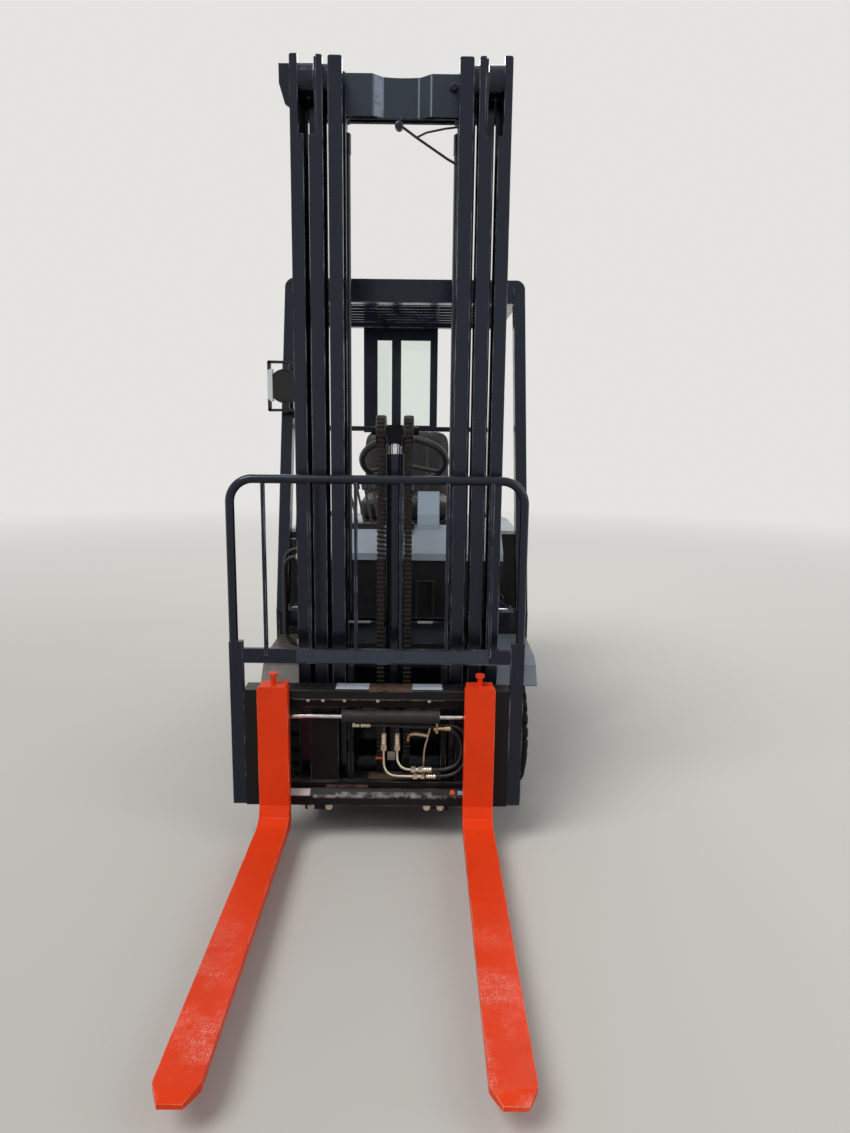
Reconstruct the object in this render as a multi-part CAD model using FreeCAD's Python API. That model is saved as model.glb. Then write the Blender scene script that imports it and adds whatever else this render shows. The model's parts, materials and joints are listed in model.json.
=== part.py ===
"""Sit-down four-wheel electric counterbalance forklift with a three-stage mast.

Millimetres. The forks point to -Y, +Z is up. While it is drawn, X = 0 is the centre plane of the
truck, Y = 0 is the front face of the outer mast rails and Z = 0 is the floor. Every piece is then
moved by SHIFT, so that the written model stands with the bottom centre of its box at the origin.
"""
import FreeCAD, Part
import math
import os

V = FreeCAD.Vector

# Driving dimensions of the mast
MAST_TOP = 2530.0
MAST_HALF = 344.0
RAIL_DEPTH = 130.0
FLANGE = 16.0
WEB = 14.0
PLAY = 0.3
PIN_PLAY = 0.1
ROLLER_R = RAIL_DEPTH / 2 - FLANGE - PLAY
OUTER_FACE = 41.0
RAIL_FACE = 44.0
RAIL_GAP = 17.5
REAR_FLANGE_GAP = 5.0
BEAM_WEB = 12.0
NOTCH_DEEP = 228.0
NOTCH_ROUND = 8.0
RAIL_ROUND = 7.0
TOP_ROLLER_DROP = 56.0
TOP_CROSS_DEEP = 125.0
TOP_CROSS_HIGH = MAST_TOP - 10
TOP_CROSS_LOW = TOP_CROSS_HIGH - TOP_CROSS_DEEP
CROSS_DIP = 6.0
LIFT_X = MAST_HALF - 144
LIFT_Y = 182.0
LIFT_BARREL_R = 28.0
LIFT_ROD_R = 20.0
LIFT_BARREL_TOP = TOP_CROSS_LOW - 35
LIFT_ROD_TOP = TOP_CROSS_LOW + 3
LIFT_LUG = 26.0

# Free lift ram, its sheaves and the leaf chains
RAM_X = -15.0
RAM_Y = 50.0
RAM_BARREL_R = 31.0
RAM_BARREL_TOP = 1318.0
RAM_ROD_R = 22.0
SHEAVE_R = 50.0
SHEAVE_WIDE = 34.0
SHEAVE_OFFSET = 46.0
SHEAVE_Z = 1394.0
CHAIN_WIDE = 24.0
CHAIN_THICK = 9.0
CHAIN_PITCH = 25.4
WRAP_LOW = 830.0
ANCHOR_Z = 720.0
INNER_LINK_STEP = 3.0
CHAIN_LOW = 262.0

# Carriage, side shifter, backrest and forks
CARRIAGE_FRONT = -130.0
CARRIAGE_LOW = 136.0
CARRIAGE_HIGH = 543.0
SIDE_SHIFT = -66.0
BACKREST_HALF = 487.0
BACKREST_TOP = 1255.0
BACKREST_TUBE = 29.0
FORK_SPREAD = 341.0
FORK_WIDE = 100.0
FORK_THICK = 40.0
BLADE_LENGTH = 1150.0
BLADE_LOW = 60.0
FORK_TOP = 566.0
FORK_CHAMFER = 9.0

# Truck
TRACK_FRONT = MAST_HALF + 68
AXLE_Y = 395.0
FRONT_R = 230.0
FRONT_TYRE_WIDE = 156.0
WHEELBASE = 1320.0
REAR_R = 204.0
REAR_TYRE_WIDE = 142.0
BODY_REACH = 176.0
BODY_HALF = MAST_HALF + BODY_REACH
REAR_WHEEL_X = BODY_HALF - 92
KINGPIN_X = REAR_WHEEL_X - 73
BODY_BACK = 2095.0
GUARD_TOP = 2000.0

REAR_Y = AXLE_Y + WHEELBASE
FORK_FACE = CARRIAGE_FRONT - FORK_THICK
TIP_Y = FORK_FACE - BLADE_LENGTH
BOX_LEFT = SIDE_SHIFT - BACKREST_HALF
SHIFT = V(-(BOX_LEFT + BODY_HALF) / 2, -(TIP_Y + BODY_BACK) / 2, 0)
SIDES = (("left", -1), ("right", 1))


def box(x0, x1, y0, y1, z0, z1):
    """Block between two corners given in any order."""
    low = V(min(x0, x1), min(y0, y1), min(z0, z1))
    return Part.makeBox(abs(x1 - x0), abs(y1 - y0), abs(z1 - z0), low)


def rod(start, end, radius):
    """Round bar from one point to another."""
    line = V(*end) - V(*start)
    return Part.makeCylinder(radius, line.Length, V(*start), line)


def tube(start, end, radius, bore):
    """Round tube from one point to another."""
    return rod(start, end, radius).cut(rod(start, end, bore))


def plate_yz(points, x0, x1):
    """Flat plate with an outline of (y, z) points, from x0 to x1."""
    corners = [V(x0, y, z) for y, z in points]
    face = Part.Face(Part.makePolygon(corners + corners[:1]))
    return face.extrude(V(x1 - x0, 0, 0))


def plate_xz(points, y0, y1):
    """Flat plate with an outline of (x, z) points, from y0 to y1."""
    corners = [V(x, y0, z) for x, z in points]
    face = Part.Face(Part.makePolygon(corners + corners[:1]))
    return face.extrude(V(0, y1 - y0, 0))


def plate_xy(points, z0, z1):
    """Flat plate with an outline of (x, y) points, from z0 to z1."""
    corners = [V(x, y, z0) for x, y in points]
    face = Part.Face(Part.makePolygon(corners + corners[:1]))
    return face.extrude(V(0, 0, z1 - z0))


def fuse(parts):
    """One solid from parts that touch or overlap."""
    parts = list(parts)
    whole = parts[0].multiFuse(parts[1:]) if len(parts) > 1 else parts[0]
    return whole.removeSplitter()


def both(shape):
    """The piece and its mirror image across the truck's centre plane."""
    return [shape, mirror(shape)]


def mirror(shape):
    return shape.mirror(V(0, 0, 0), V(1, 0, 0))


def ring_x(points, centre_y, centre_z):
    """Solid of revolution about an axis along X, from an outline of (x, radius) points."""
    corners = [V(x, centre_y, centre_z + r) for x, r in points]
    face = Part.Face(Part.makePolygon(corners + corners[:1]))
    return face.revolve(V(0, centre_y, centre_z), V(1, 0, 0), 360)


def save(name, *shapes):
    """Write one node; several shapes that don't touch share it."""
    solids = [s for shape in shapes for s in shape.Solids]
    whole = solids[0] if len(solids) == 1 else Part.makeCompound(solids)
    whole.translate(SHIFT)
    assert whole.isValid(), name
    whole.exportStep("parts/" + name + ".step")
    print(name, len(solids), round(whole.Volume / 1e6, 2), "litres")


# Wheels
BEAD_SHARE = 0.55
RIM_INSET = 4.0
RIM_WALL = 10.0
DISC_THICK = 12.0
CAP_PROUD = 26.0
FRONT_OFFSET = 20.0
REAR_OFFSET = 39.0
STUB_R = 33.4
NUTS = 6
NUT_CIRCLE = 62.0


def tyre(centre_x, centre_y, radius, wide):
    """Solid tyre with rounded shoulders and a straight bead."""
    half = wide / 2
    bead = radius * BEAD_SHARE
    round_off = radius * 0.09
    outline = [
        (-half, bead),
        (-half, radius - 2.2 * round_off),
        (-half + 0.35 * round_off, radius - 0.9 * round_off),
        (-half + 1.3 * round_off, radius),
        (half - 1.3 * round_off, radius),
        (half - 0.35 * round_off, radius - 0.9 * round_off),
        (half, radius - 2.2 * round_off),
        (half, bead),
    ]
    return ring_x([(centre_x + x, r) for x, r in outline], centre_y, radius)


def rim(centre_x, centre_y, radius, wide, side, offset):
    """Steel disc wheel: an open well inside, a hub cap over the bore, and wheel nuts outside."""
    seat = radius * BEAD_SHARE - PLAY
    inner = -side * (wide / 2 - RIM_INSET)
    outer = side * (wide / 2 - RIM_INSET)
    disc = side * offset
    face = side * (offset + DISC_THICK)
    cap = side * (offset + DISC_THICK + CAP_PROUD)
    bore = STUB_R + PIN_PLAY
    outline = [
        (inner, seat),
        (outer, seat),
        (outer, seat - RIM_WALL),
        (face, seat - 2 * RIM_WALL),
        (face, bore + 14),
        (cap - side * 8, bore + 4),
        (cap, bore - 6),
        (cap, 0),
        (face - side * 2, 0),
        (face - side * 2, bore),
        (disc, bore),
        (disc, seat - RIM_WALL),
        (inner, seat - RIM_WALL),
    ]
    body = ring_x([(centre_x + x, r) for x, r in outline], centre_y, radius)
    nuts = []
    for step in range(NUTS):
        angle = 2 * math.pi * (step + 0.25) / NUTS
        y = centre_y + NUT_CIRCLE * math.cos(angle)
        z = radius + NUT_CIRCLE * math.sin(angle)
        start = (centre_x + face - side, y, z)
        nuts.append(rod(start, (centre_x + face + side * 18, y, z), 9))
    return fuse([body] + nuts)


def make_wheels():
    for name, side in SIDES:
        front_x = side * TRACK_FRONT
        save("front_tyre_" + name, tyre(front_x, AXLE_Y, FRONT_R, FRONT_TYRE_WIDE))
        save("front_rim_" + name, rim(front_x, AXLE_Y, FRONT_R, FRONT_TYRE_WIDE, side, FRONT_OFFSET))
        rear_x = side * REAR_WHEEL_X
        save("rear_tyre_" + name, tyre(rear_x, REAR_Y, REAR_R, REAR_TYRE_WIDE))
        save("rear_rim_" + name, rim(rear_x, REAR_Y, REAR_R, REAR_TYRE_WIDE, side, REAR_OFFSET))


# Axles and knuckles
HUB_X = TRACK_FRONT - 76
LEG_IN = MAST_HALF - 130
AXLE_TUBE_R = 62.0
MOTOR_R = 98.0


def make_drive_axle():
    """Drive axle housing with the motor barrels and a hub at each end."""
    tube_end = HUB_X - 16
    housing = rod((-tube_end, AXLE_Y, FRONT_R), (tube_end, AXLE_Y, FRONT_R), AXLE_TUBE_R)
    motors = both(rod((25, AXLE_Y, FRONT_R), (LEG_IN - 6, AXLE_Y, FRONT_R), MOTOR_R))
    stub_end = TRACK_FRONT + FRONT_OFFSET + DISC_THICK - 2 - PLAY
    hubs = both(fuse([
        rod((HUB_X - 18, AXLE_Y, FRONT_R), (stub_end, AXLE_Y, FRONT_R), STUB_R),
        rod((HUB_X - 36, AXLE_Y, FRONT_R), (HUB_X, AXLE_Y, FRONT_R), 92),
    ]))
    save("drive_axle", fuse([housing] + motors + hubs))


def make_steer_axle():
    """Rear axle beam with a fork for each kingpin, and its centre pivot block."""
    end = KINGPIN_X - 55
    beam = plate_xy(
        [(-end, REAR_Y - 26), (-180, REAR_Y - 62), (180, REAR_Y - 62), (end, REAR_Y - 26),
         (end, REAR_Y + 26), (180, REAR_Y + 62), (-180, REAR_Y + 62), (-end, REAR_Y + 26)],
        REAR_R - 40, REAR_R + 40,
    )
    ears = []
    for low, high in ((REAR_R + 40, REAR_R + 62), (REAR_R - 62, REAR_R - 40)):
        arm = box(end - 50, KINGPIN_X, REAR_Y - 26, REAR_Y + 26, low, high)
        eye = rod((KINGPIN_X, REAR_Y, low), (KINGPIN_X, REAR_Y, high), 26)
        pin_hole = rod((KINGPIN_X, REAR_Y, low - 1), (KINGPIN_X, REAR_Y, high + 1), 12.1)
        ears += both(fuse([arm, eye]).cut(pin_hole))
    ram = rod((-150, REAR_Y - 84, REAR_R), (150, REAR_Y - 84, REAR_R), 26)
    pivot = box(-60, 60, REAR_Y - 110, REAR_Y + 90, REAR_R + 39, REAR_R + 78)
    save("steer_axle", fuse([beam, ram, pivot] + ears))


def make_knuckles():
    """Each knuckle: a block between the axle's ears, its kingpin and the wheel's stub axle."""
    for name, side in SIDES:
        block = rod((KINGPIN_X, REAR_Y, REAR_R - 38), (KINGPIN_X, REAR_Y, REAR_R + 38), 27)
        pin = rod((KINGPIN_X, REAR_Y, REAR_R - 70), (KINGPIN_X, REAR_Y, REAR_R + 70), 12)
        stub_end = REAR_WHEEL_X + REAR_OFFSET + DISC_THICK - 2 - PLAY
        stub = rod((KINGPIN_X, REAR_Y, REAR_R), (stub_end, REAR_Y, REAR_R), STUB_R)
        shape = fuse([block, pin, stub])
        save("knuckle_" + name, shape if side > 0 else mirror(shape))


# Chassis
FLOOR_Z = 430.0
DECK_Z = 925.0
DECK_FRONT = 895.0
SILL_Z = 640.0
HINGE_X = BODY_HALF - 220
HINGE_Y = 1440.0
HINGE_Z = 938.0
HINGE_PIN_R = 5.5
HINGE_LUG_R = 10.0
DECK_SWING = HINGE_Y - DECK_FRONT
LID_GAP = 5.0
SILL_IN = BODY_HALF - 110
TOWER_IN = MAST_HALF - 8
TOWER_OUT = BODY_HALF - 12
BELLY_TOP = 205.0
BATTERY_HALF = SILL_IN - 10
BATTERY = (-BATTERY_HALF, BATTERY_HALF, DECK_FRONT - 90, HINGE_Y - 15, BELLY_TOP, DECK_Z - 20)


def make_chassis():
    """Battery tray, side sills with a step, towers for the guard, and legs to the drive axle."""
    belly = box(-BODY_HALF, BODY_HALF, 640, 1450, 180, BELLY_TOP)
    sill = plate_yz(
        [(660, 180), (1450, 180), (1450, SILL_Z), (806, SILL_Z), (806, FLOOR_Z), (660, FLOOR_Z)],
        SILL_IN, BODY_HALF,
    )
    sill = sill.cut(box(SILL_IN + 14, BODY_HALF + 1, 674, 796, 255, 345))
    front_wall = box(-BODY_HALF, BODY_HALF, 640, 665, 180, FLOOR_Z)
    tower = box(TOWER_IN, TOWER_OUT, 562, 665, FLOOR_Z, 650)
    leg = plate_yz(
        [(AXLE_Y - 70, 150), (650, 190), (650, FLOOR_Z), (AXLE_Y - 70, FLOOR_Z - 60)],
        LEG_IN, LEG_IN + 30,
    )
    leg = leg.cut(rod((LEG_IN - 5, AXLE_Y, FRONT_R), (LEG_IN + 35, AXLE_Y, FRONT_R), AXLE_TUBE_R))
    back_wall = box(5 - SILL_IN, SILL_IN - 5, HINGE_Y - 10, HINGE_Y + 10, 180, DECK_Z - 25)
    hinge = fuse([
        box(HINGE_X - 12, HINGE_X + 12, HINGE_Y - 8, HINGE_Y + 8, 890, HINGE_Z + HINGE_PIN_R),
        rod((HINGE_X - 40, HINGE_Y, HINGE_Z), (HINGE_X + 40, HINGE_Y, HINGE_Z), HINGE_PIN_R),
    ])
    ears = fuse([
        box(TILT_X - 43, TILT_X - 33, TILT_Y_BACK - 32, 660, 640, TILT_Z_BACK + 26),
        box(TILT_X + 33, TILT_X + 43, TILT_Y_BACK - 32, 660, 640, TILT_Z_BACK + 26),
        box(TILT_X - 43, TILT_X + 43, 634, 660, 640, TILT_Z_BACK + 26),
        rod((TILT_X - 43, TILT_Y_BACK, TILT_Z_BACK), (TILT_X + 43, TILT_Y_BACK, TILT_Z_BACK), TILT_PIN_R),
    ])
    parts = [belly, front_wall, back_wall]
    for shape in (sill, tower, leg, ears, hinge):
        parts += both(shape)
    save("chassis_frame", fuse(parts))


def make_floor():
    """Floor plate of the operator's place, the seat riser and the pedals."""
    plate = fuse([
        box(-TOWER_IN + 2, TOWER_IN - 2, 508, 790, FLOOR_Z, FLOOR_Z + 16),
        box(-BODY_HALF + 6, BODY_HALF - 6, 667, 790, FLOOR_Z, FLOOR_Z + 16),
    ])
    save("floor_plate", plate)
    riser = box(-BODY_HALF + 10, BODY_HALF - 10, 790, 800, FLOOR_Z, DECK_Z)
    ledge = box(-BODY_HALF + 10, BODY_HALF - 10, 790, DECK_FRONT - 8, DECK_Z, DECK_Z + 26)
    flank = box(BODY_HALF - 35, BODY_HALF - 10, 799, HINGE_Y - 200, SILL_Z, DECK_Z + 1)
    swept = rod((0, HINGE_Y, HINGE_Z), (BODY_HALF, HINGE_Y, HINGE_Z), DECK_SWING + LID_GAP)
    save("seat_riser", fuse([riser, ledge] + both(flank.cut(swept))))
    pedals = []
    for x in (-150, -60, 120):
        arm = rod((x, 560, 470), (x, 620, 560), 7)
        pad = box(x - 28, x + 28, 600, 612, 540, 610)
        foot = box(x - 20, x + 20, 545, 575, FLOOR_Z + 16, 485)
        pedals.append(fuse([arm, pad, foot]))
    save("pedals", *pedals)


def make_fenders():
    """Mudguards over the front wheels, open below and towards the mast."""
    shapes = []
    for side, top in ((-1, 552), (1, 562)):
        skin = plate_yz(
            [(152, 476), (200, top - 24), (256, top), (562, top), (562, top - 8),
             (258, top - 8), (205, top - 31), (158, 470)],
            MAST_HALF + 8, TOWER_OUT,
        )
        wall = plate_yz([(300, 474), (562, 474), (562, top - 4), (300, top - 4)], TOWER_OUT - 8, TOWER_OUT)
        shape = fuse([skin, wall])
        shapes.append(shape if side > 0 else mirror(shape))
    save("fenders", *shapes)


# Tilt cylinders between the truck and the outer mast rails
TILT_X = MAST_HALF + 34
TILT_Y_FRONT = 178.0
TILT_Z_FRONT = 735.0
TILT_Y_BACK = 598.0
TILT_Z_BACK = 690.0
TILT_BARREL_R = 30.0
TILT_ROD_R = 14.0
TILT_PIN_R = 11.9
LOOP_PLAY = 1.5


def make_tilt_cylinders():
    """Barrel with its rear eye, and rod with its front eye, on the line between the two pins."""
    back = V(0, TILT_Y_BACK, TILT_Z_BACK)
    front = V(0, TILT_Y_FRONT, TILT_Z_FRONT)
    line = (front - back).normalize()
    for name, side in SIDES:
        centre = V(side * TILT_X, 0, 0)

        def along(distance):
            point = centre + back + line * distance
            return (point.x, point.y, point.z)

        barrel = tube(along(34), along(300), TILT_BARREL_R, TILT_ROD_R + PIN_PLAY)
        barrel = barrel.fuse(rod(along(34), along(120), TILT_ROD_R + 1))
        eye = rod((side * TILT_X - 26, TILT_Y_BACK, TILT_Z_BACK),
                  (side * TILT_X + 26, TILT_Y_BACK, TILT_Z_BACK), 24)
        neck = rod(along(8), along(36), 17)
        bore = rod((side * TILT_X - 30, TILT_Y_BACK, TILT_Z_BACK),
                   (side * TILT_X + 30, TILT_Y_BACK, TILT_Z_BACK), TILT_PIN_R + PIN_PLAY)
        save("tilt_barrel_" + name, fuse([barrel, eye, neck]).cut(bore))
        span = (front - back).Length
        shaft = rod(along(190), along(span - 10), TILT_ROD_R)
        end = rod((side * TILT_X - 16, TILT_Y_FRONT, TILT_Z_FRONT),
                  (side * TILT_X + 16, TILT_Y_FRONT, TILT_Z_FRONT), 23)
        bore = rod((side * TILT_X - 30, TILT_Y_FRONT, TILT_Z_FRONT),
                   (side * TILT_X + 30, TILT_Y_FRONT, TILT_Z_FRONT), TILT_PIN_R + LOOP_PLAY)
        save("tilt_rod_" + name, fuse([shaft, end]).cut(bore))


# Cowl, controls and operator's place
LEVER_BASE = (-215.0, -85.0, 612.0, 668.0, 985.0, 1012.0)
COLUMN_BASE = (-46.0, 46.0, 612.0, 668.0, 958.0, 1012.0)
PANEL_BASE = (60.0, 150.0, 612.0, 640.0, 970.0, 1012.0)
COWL_HALF = SILL_IN - 5
COWL_FACE = 500.0
COWL_INNER = TOWER_IN - 6
COWL_PLATE = 6.0
COWL_LOW = FLOOR_Z + 16
COWL_HIGH = 880.0


# Wire hoop handle of the service hatch: left, right, lower and upper ends
HATCH_HOOP = (60.0, 125.0, 655.0, 795.0)
HOOP_R = 5.0


def make_cowl():
    """Hollow front cowl: a wide light top over a narrower black front, open to the driver."""
    top = plate_yz(
        [(492, 880), (492, 908), (505, 922), (630, 1000), (660, 1004), (660, 996), (634, 992),
         (511, 915), (500, 904), (500, 880)],
        -COWL_HALF, COWL_HALF,
    )
    top = top.cut([box(*LEVER_BASE), box(*COLUMN_BASE), box(*PANEL_BASE)])
    save("cowl_top", top)
    back = COWL_FACE + COWL_PLATE
    front = box(-COWL_INNER, COWL_INNER, COWL_FACE, back, COWL_LOW, COWL_HIGH)
    flank = box(COWL_INNER - COWL_PLATE, COWL_INNER, COWL_FACE, 638, COWL_LOW, COWL_HIGH)
    lid = box(-COWL_HALF, COWL_HALF, COWL_FACE, back, COWL_HIGH - 80, COWL_HIGH)
    left, right, low, high = HATCH_HOOP
    hoop_y = COWL_FACE - 12
    hoop = [
        rod((left, COWL_FACE + 1, low), (left, hoop_y, low), HOOP_R),
        rod((left, hoop_y, low - HOOP_R), (left, hoop_y, high), HOOP_R),
        rod((left - HOOP_R, hoop_y, high), (right + HOOP_R, hoop_y, high), HOOP_R),
        rod((right, hoop_y, low - HOOP_R), (right, hoop_y, high), HOOP_R),
        rod((right, COWL_FACE + 1, low), (right, hoop_y, low), HOOP_R),
    ]
    save("cowl_front", fuse([front, lid] + both(flank) + hoop))
    hood = plate_yz([(612, 1004), (645, 1010), (700, 1135), (676, 1142), (622, 1050)], 60, 150)
    save("instrument_panel", fuse([hood, box(*PANEL_BASE)]))


WHEEL_CENTRE = (0.0, 765.0, 1262.0)
WHEEL_R = 178.0
SHAFT_R = 10.0


def column_axis():
    """Unit vector up the steering column; its lean is that of the wheel in the photograph."""
    return V(0, 0.555, 0.832).normalize()


def make_steering():
    axis = column_axis()
    centre = V(*WHEEL_CENTRE)
    hub_low = centre - axis * 42
    jacket = rod(tuple(centre - axis * 330), tuple(hub_low), 33)
    jacket = jacket.cut(box(-60, 60, 400, 900, 900, 1011))
    clamp = rod(tuple(centre - axis * 150), tuple(centre - axis * 100), 42)
    foot = box(*COLUMN_BASE)
    shaft = rod(tuple(centre - axis * 60), tuple(centre - axis * 6), SHAFT_R)
    save("steering_column", fuse([jacket, clamp, foot, shaft]))
    ring = Part.makeTorus(WHEEL_R, 14, centre, axis)
    hub = rod(tuple(centre - axis * 40), tuple(centre + axis * 6), 34)
    across = axis.cross(V(1, 0, 0)).normalize()
    spokes = []
    for angle in (90, 210, 330):
        turn = math.radians(angle)
        out = V(1, 0, 0) * math.cos(turn) - across * math.sin(turn)
        spokes.append(rod(tuple(centre - axis * 18), tuple(centre + out * WHEEL_R), 8))
    bore = rod(tuple(centre - axis * 50), tuple(centre - axis * 5), SHAFT_R + PIN_PLAY)
    save("steering_wheel", fuse([ring, hub] + spokes).cut(bore))


KNOB_R = 13.0
KNOB_LONG = 34.0


def make_levers():
    """Four hydraulic levers leaning out to the driver's right, on their own base."""
    base = box(*LEVER_BASE)
    pieces = [base]
    for step in range(4):
        low = (-100 - 30 * step, 640, 1008)
        high = (-128 - 33 * step, 685, 1148)
        line = (V(*high) - V(*low)).normalize()
        pieces.append(rod(low, high, 5))
        pieces.append(rod(high, tuple(V(*high) + line * KNOB_LONG), KNOB_R))
    save("control_levers", fuse(pieces))


def make_deck_and_seat():
    """Battery cover that lifts with the seat on it."""
    half = BODY_HALF - 10
    cover = box(-half, half, DECK_FRONT, 1425, DECK_Z, DECK_Z + 26)
    skirt = box(half - 25, half, DECK_FRONT, 1425, SILL_Z + PLAY, DECK_Z + 10)
    swing = rod((0, HINGE_Y, HINGE_Z), (BODY_HALF, HINGE_Y, HINGE_Z), DECK_SWING)
    lugs = []
    for x in (HINGE_X - 40, HINGE_X + 14):
        link = box(x, x + 26, 1424, HINGE_Y, HINGE_Z - 6, HINGE_Z + 6)
        lug = rod((x, HINGE_Y, HINGE_Z), (x + 26, HINGE_Y, HINGE_Z), HINGE_LUG_R)
        bore = rod((x - 1, HINGE_Y, HINGE_Z), (x + 27, HINGE_Y, HINGE_Z), HINGE_PIN_R + PIN_PLAY)
        lugs += both(fuse([link, lug]).cut(bore))
    save("seat_deck", fuse([cover] + both(skirt.common(swing)) + lugs))
    save("seat_base", box(-190, 190, 960, 1310, DECK_Z + 26, DECK_Z + 62))
    save("seat_cushion", box(-225, 225, 930, 1338, DECK_Z + 62 + PLAY, DECK_Z + 160))
    back = plate_yz([(1338 + PLAY, 1010), (1430, 1004), (1492, 1395), (1402, 1400)], -225, 225)
    save("seat_back", back)


def make_battery():
    save("battery", box(*BATTERY))


# Counterweight
ARCH_IN = 160.0
ARCH_TOP = 430.0
TOW_PIN_R = 16.0


def counterweight_shape():
    """Casting with open rear wheel arches, a tow slot and its pin hole."""
    outline = [
        (1455, ARCH_TOP), (1455, 930), (1500, 936), (2010, 905), (2078, 830), (BODY_BACK, 660),
        (BODY_BACK, 300), (2060, 230), (1985, 230), (1985, ARCH_TOP),
    ]
    body = plate_yz(outline, -BODY_HALF, BODY_HALF)
    centre = box(-ARCH_IN + 10, ARCH_IN - 10, 1460, 1990, REAR_R + 78, ARCH_TOP + 2)
    corner = box(0, 120, 0, 120, 0, 900).cut(Part.makeCylinder(120, 900, V(0, 0, 0), V(0, 0, 1)))
    corner.translate(V(BODY_HALF - 119, BODY_BACK - 119, 180))
    slot = box(-60, 60, 1990, BODY_BACK + 5, 545, 605)
    pin_hole = rod((0, 2050, 470), (0, 2050, 700), TOW_PIN_R)
    recess = box(-75, 75, 2030, BODY_BACK + 5, 645, 1010)
    return fuse([body, centre]).cut([corner, mirror(corner), slot, pin_hole, recess])


def make_counterweight():
    save("counterweight", counterweight_shape())


# Overhead guard
GUARD_TUBE = 46.0
GUARD_DEEP = 62.0
LEG_FOOT = (BODY_HALF - 23, 590.0, SILL_Z)
LEG_HEAD = (BODY_HALF - 53, 775.0, GUARD_TOP - 25)
ROOF_BACK = 1850.0
ROOF_BARS = 9
PILLAR_FOOT = (BODY_HALF - 80, 1620.0, 905.0)
GUARD_DROP = GUARD_TOP - 1908.0


def leg_between(foot, head):
    """Guard post of rectangular tube, drawn solid, from foot to head."""
    half_x = GUARD_TUBE / 2
    half_y = GUARD_DEEP / 2
    wires = []
    for x, y, z in (foot, head):
        corners = [V(x - half_x, y - half_y, z), V(x + half_x, y - half_y, z),
                   V(x + half_x, y + half_y, z), V(x - half_x, y + half_y, z)]
        wires.append(Part.makePolygon(corners + corners[:1]))
    return Part.makeLoft(wires, True, True)


def front_posts():
    """Both front posts, which run down outside the fenders to the towers' sides."""
    return both(leg_between(LEG_FOOT, LEG_HEAD))


def make_guard():
    """Four posts and the roof's frame; the front header is a deep bent plate."""
    pillars = both(leg_between(PILLAR_FOOT, (LEG_HEAD[0], ROOF_BACK - 31, GUARD_TOP - 30)))
    edge = LEG_HEAD[0] + GUARD_TUBE / 2
    front_y = LEG_HEAD[1] - GUARD_DEEP / 2
    header = box(-edge, edge, front_y, front_y + 62, GUARD_TOP - GUARD_DROP, GUARD_TOP)
    corner = box(0, 40, -5, 80, 0, 40).cut(rod((0, -6, 0), (0, 81, 0), 40))
    corner.translate(V(edge - 39, front_y, GUARD_TOP - 39))
    back = box(-edge, edge, ROOF_BACK - 62, ROOF_BACK, GUARD_TOP - 70, GUARD_TOP - 8)
    rails = both(box(edge - GUARD_TUBE, edge, front_y + 30, ROOF_BACK, GUARD_TOP - 64, GUARD_TOP - 4))
    toes = both(box(TOWER_OUT, BODY_HALF, 558, 640, 470, SILL_Z + 20))
    feet = both(box(BODY_HALF - 120, BODY_HALF - 40, 1575, 1665, 900, 950))
    shape = fuse(front_posts() + pillars + [header, back] + rails + toes + feet)
    tower_gap = both(box(TOWER_IN - 4, TOWER_OUT, 556, 670, 400, 650))
    shape = shape.cut([corner, mirror(corner), counterweight_shape()] + tower_gap)
    save("overhead_guard", shape)
    inner = edge - GUARD_TUBE
    first = front_y + 62
    last = ROOF_BACK - 62
    pitch = (last - first) / (ROOF_BARS + 1)
    bars = [box(-inner, inner, first + pitch * step - 6, first + pitch * step + 6,
                GUARD_TOP - 56, GUARD_TOP - 10)
            for step in range(1, ROOF_BARS + 1)]
    bars += both(box(140, 152, first, last, GUARD_TOP - 50, GUARD_TOP - 18))
    save("roof_grille", fuse(bars))


WINDOW_X = -45.0
WINDOW_HALF = 200.0
WINDOW_LOW = 1372.0
WINDOW_HIGH = GUARD_TOP - 70


def make_rear_window():
    """Two-pane framed screen hung behind the seat from the roof's rear bar."""
    x0 = WINDOW_X - WINDOW_HALF
    x1 = WINDOW_X + WINDOW_HALF
    y0 = ROOF_BACK - 44
    y1 = ROOF_BACK - 22
    frame = box(x0, x1, y0, y1, WINDOW_LOW, WINDOW_HIGH)
    left_pane = box(x0 + 74, WINDOW_X - 48, y0 - 1, y1 + 1, WINDOW_LOW + 40, WINDOW_HIGH - 66)
    right_pane = box(WINDOW_X + 2, x1 - 40, y0 - 1, y1 + 1, WINDOW_LOW + 40, WINDOW_HIGH - 66)
    frame = frame.cut([left_pane, right_pane])
    tie = box(-426, 426, y0 - 26, y0, WINDOW_LOW + 8, WINDOW_LOW + 34)
    arms = both(box(412, 426, 1700, y0, WINDOW_LOW + 8, WINDOW_LOW + 34))
    save("rear_window_frame", fuse([frame, tie] + arms))
    panes = []
    for hole in (left_pane, right_pane):
        b = hole.BoundBox
        panes.append(box(b.XMin, b.XMax, y0 + 8, y0 + 13, b.ZMin, b.ZMax))
    save("rear_window_panes", *panes)


def guard_leg_at(z):
    """Centre of a front guard post at height z, on the +X side."""
    share = (z - LEG_FOOT[2]) / (LEG_HEAD[2] - LEG_FOOT[2])
    return tuple(a + (b - a) * share for a, b in zip(LEG_FOOT, LEG_HEAD))


LAMP_Z = 1562.0
LAMP_R = 68.0


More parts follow.
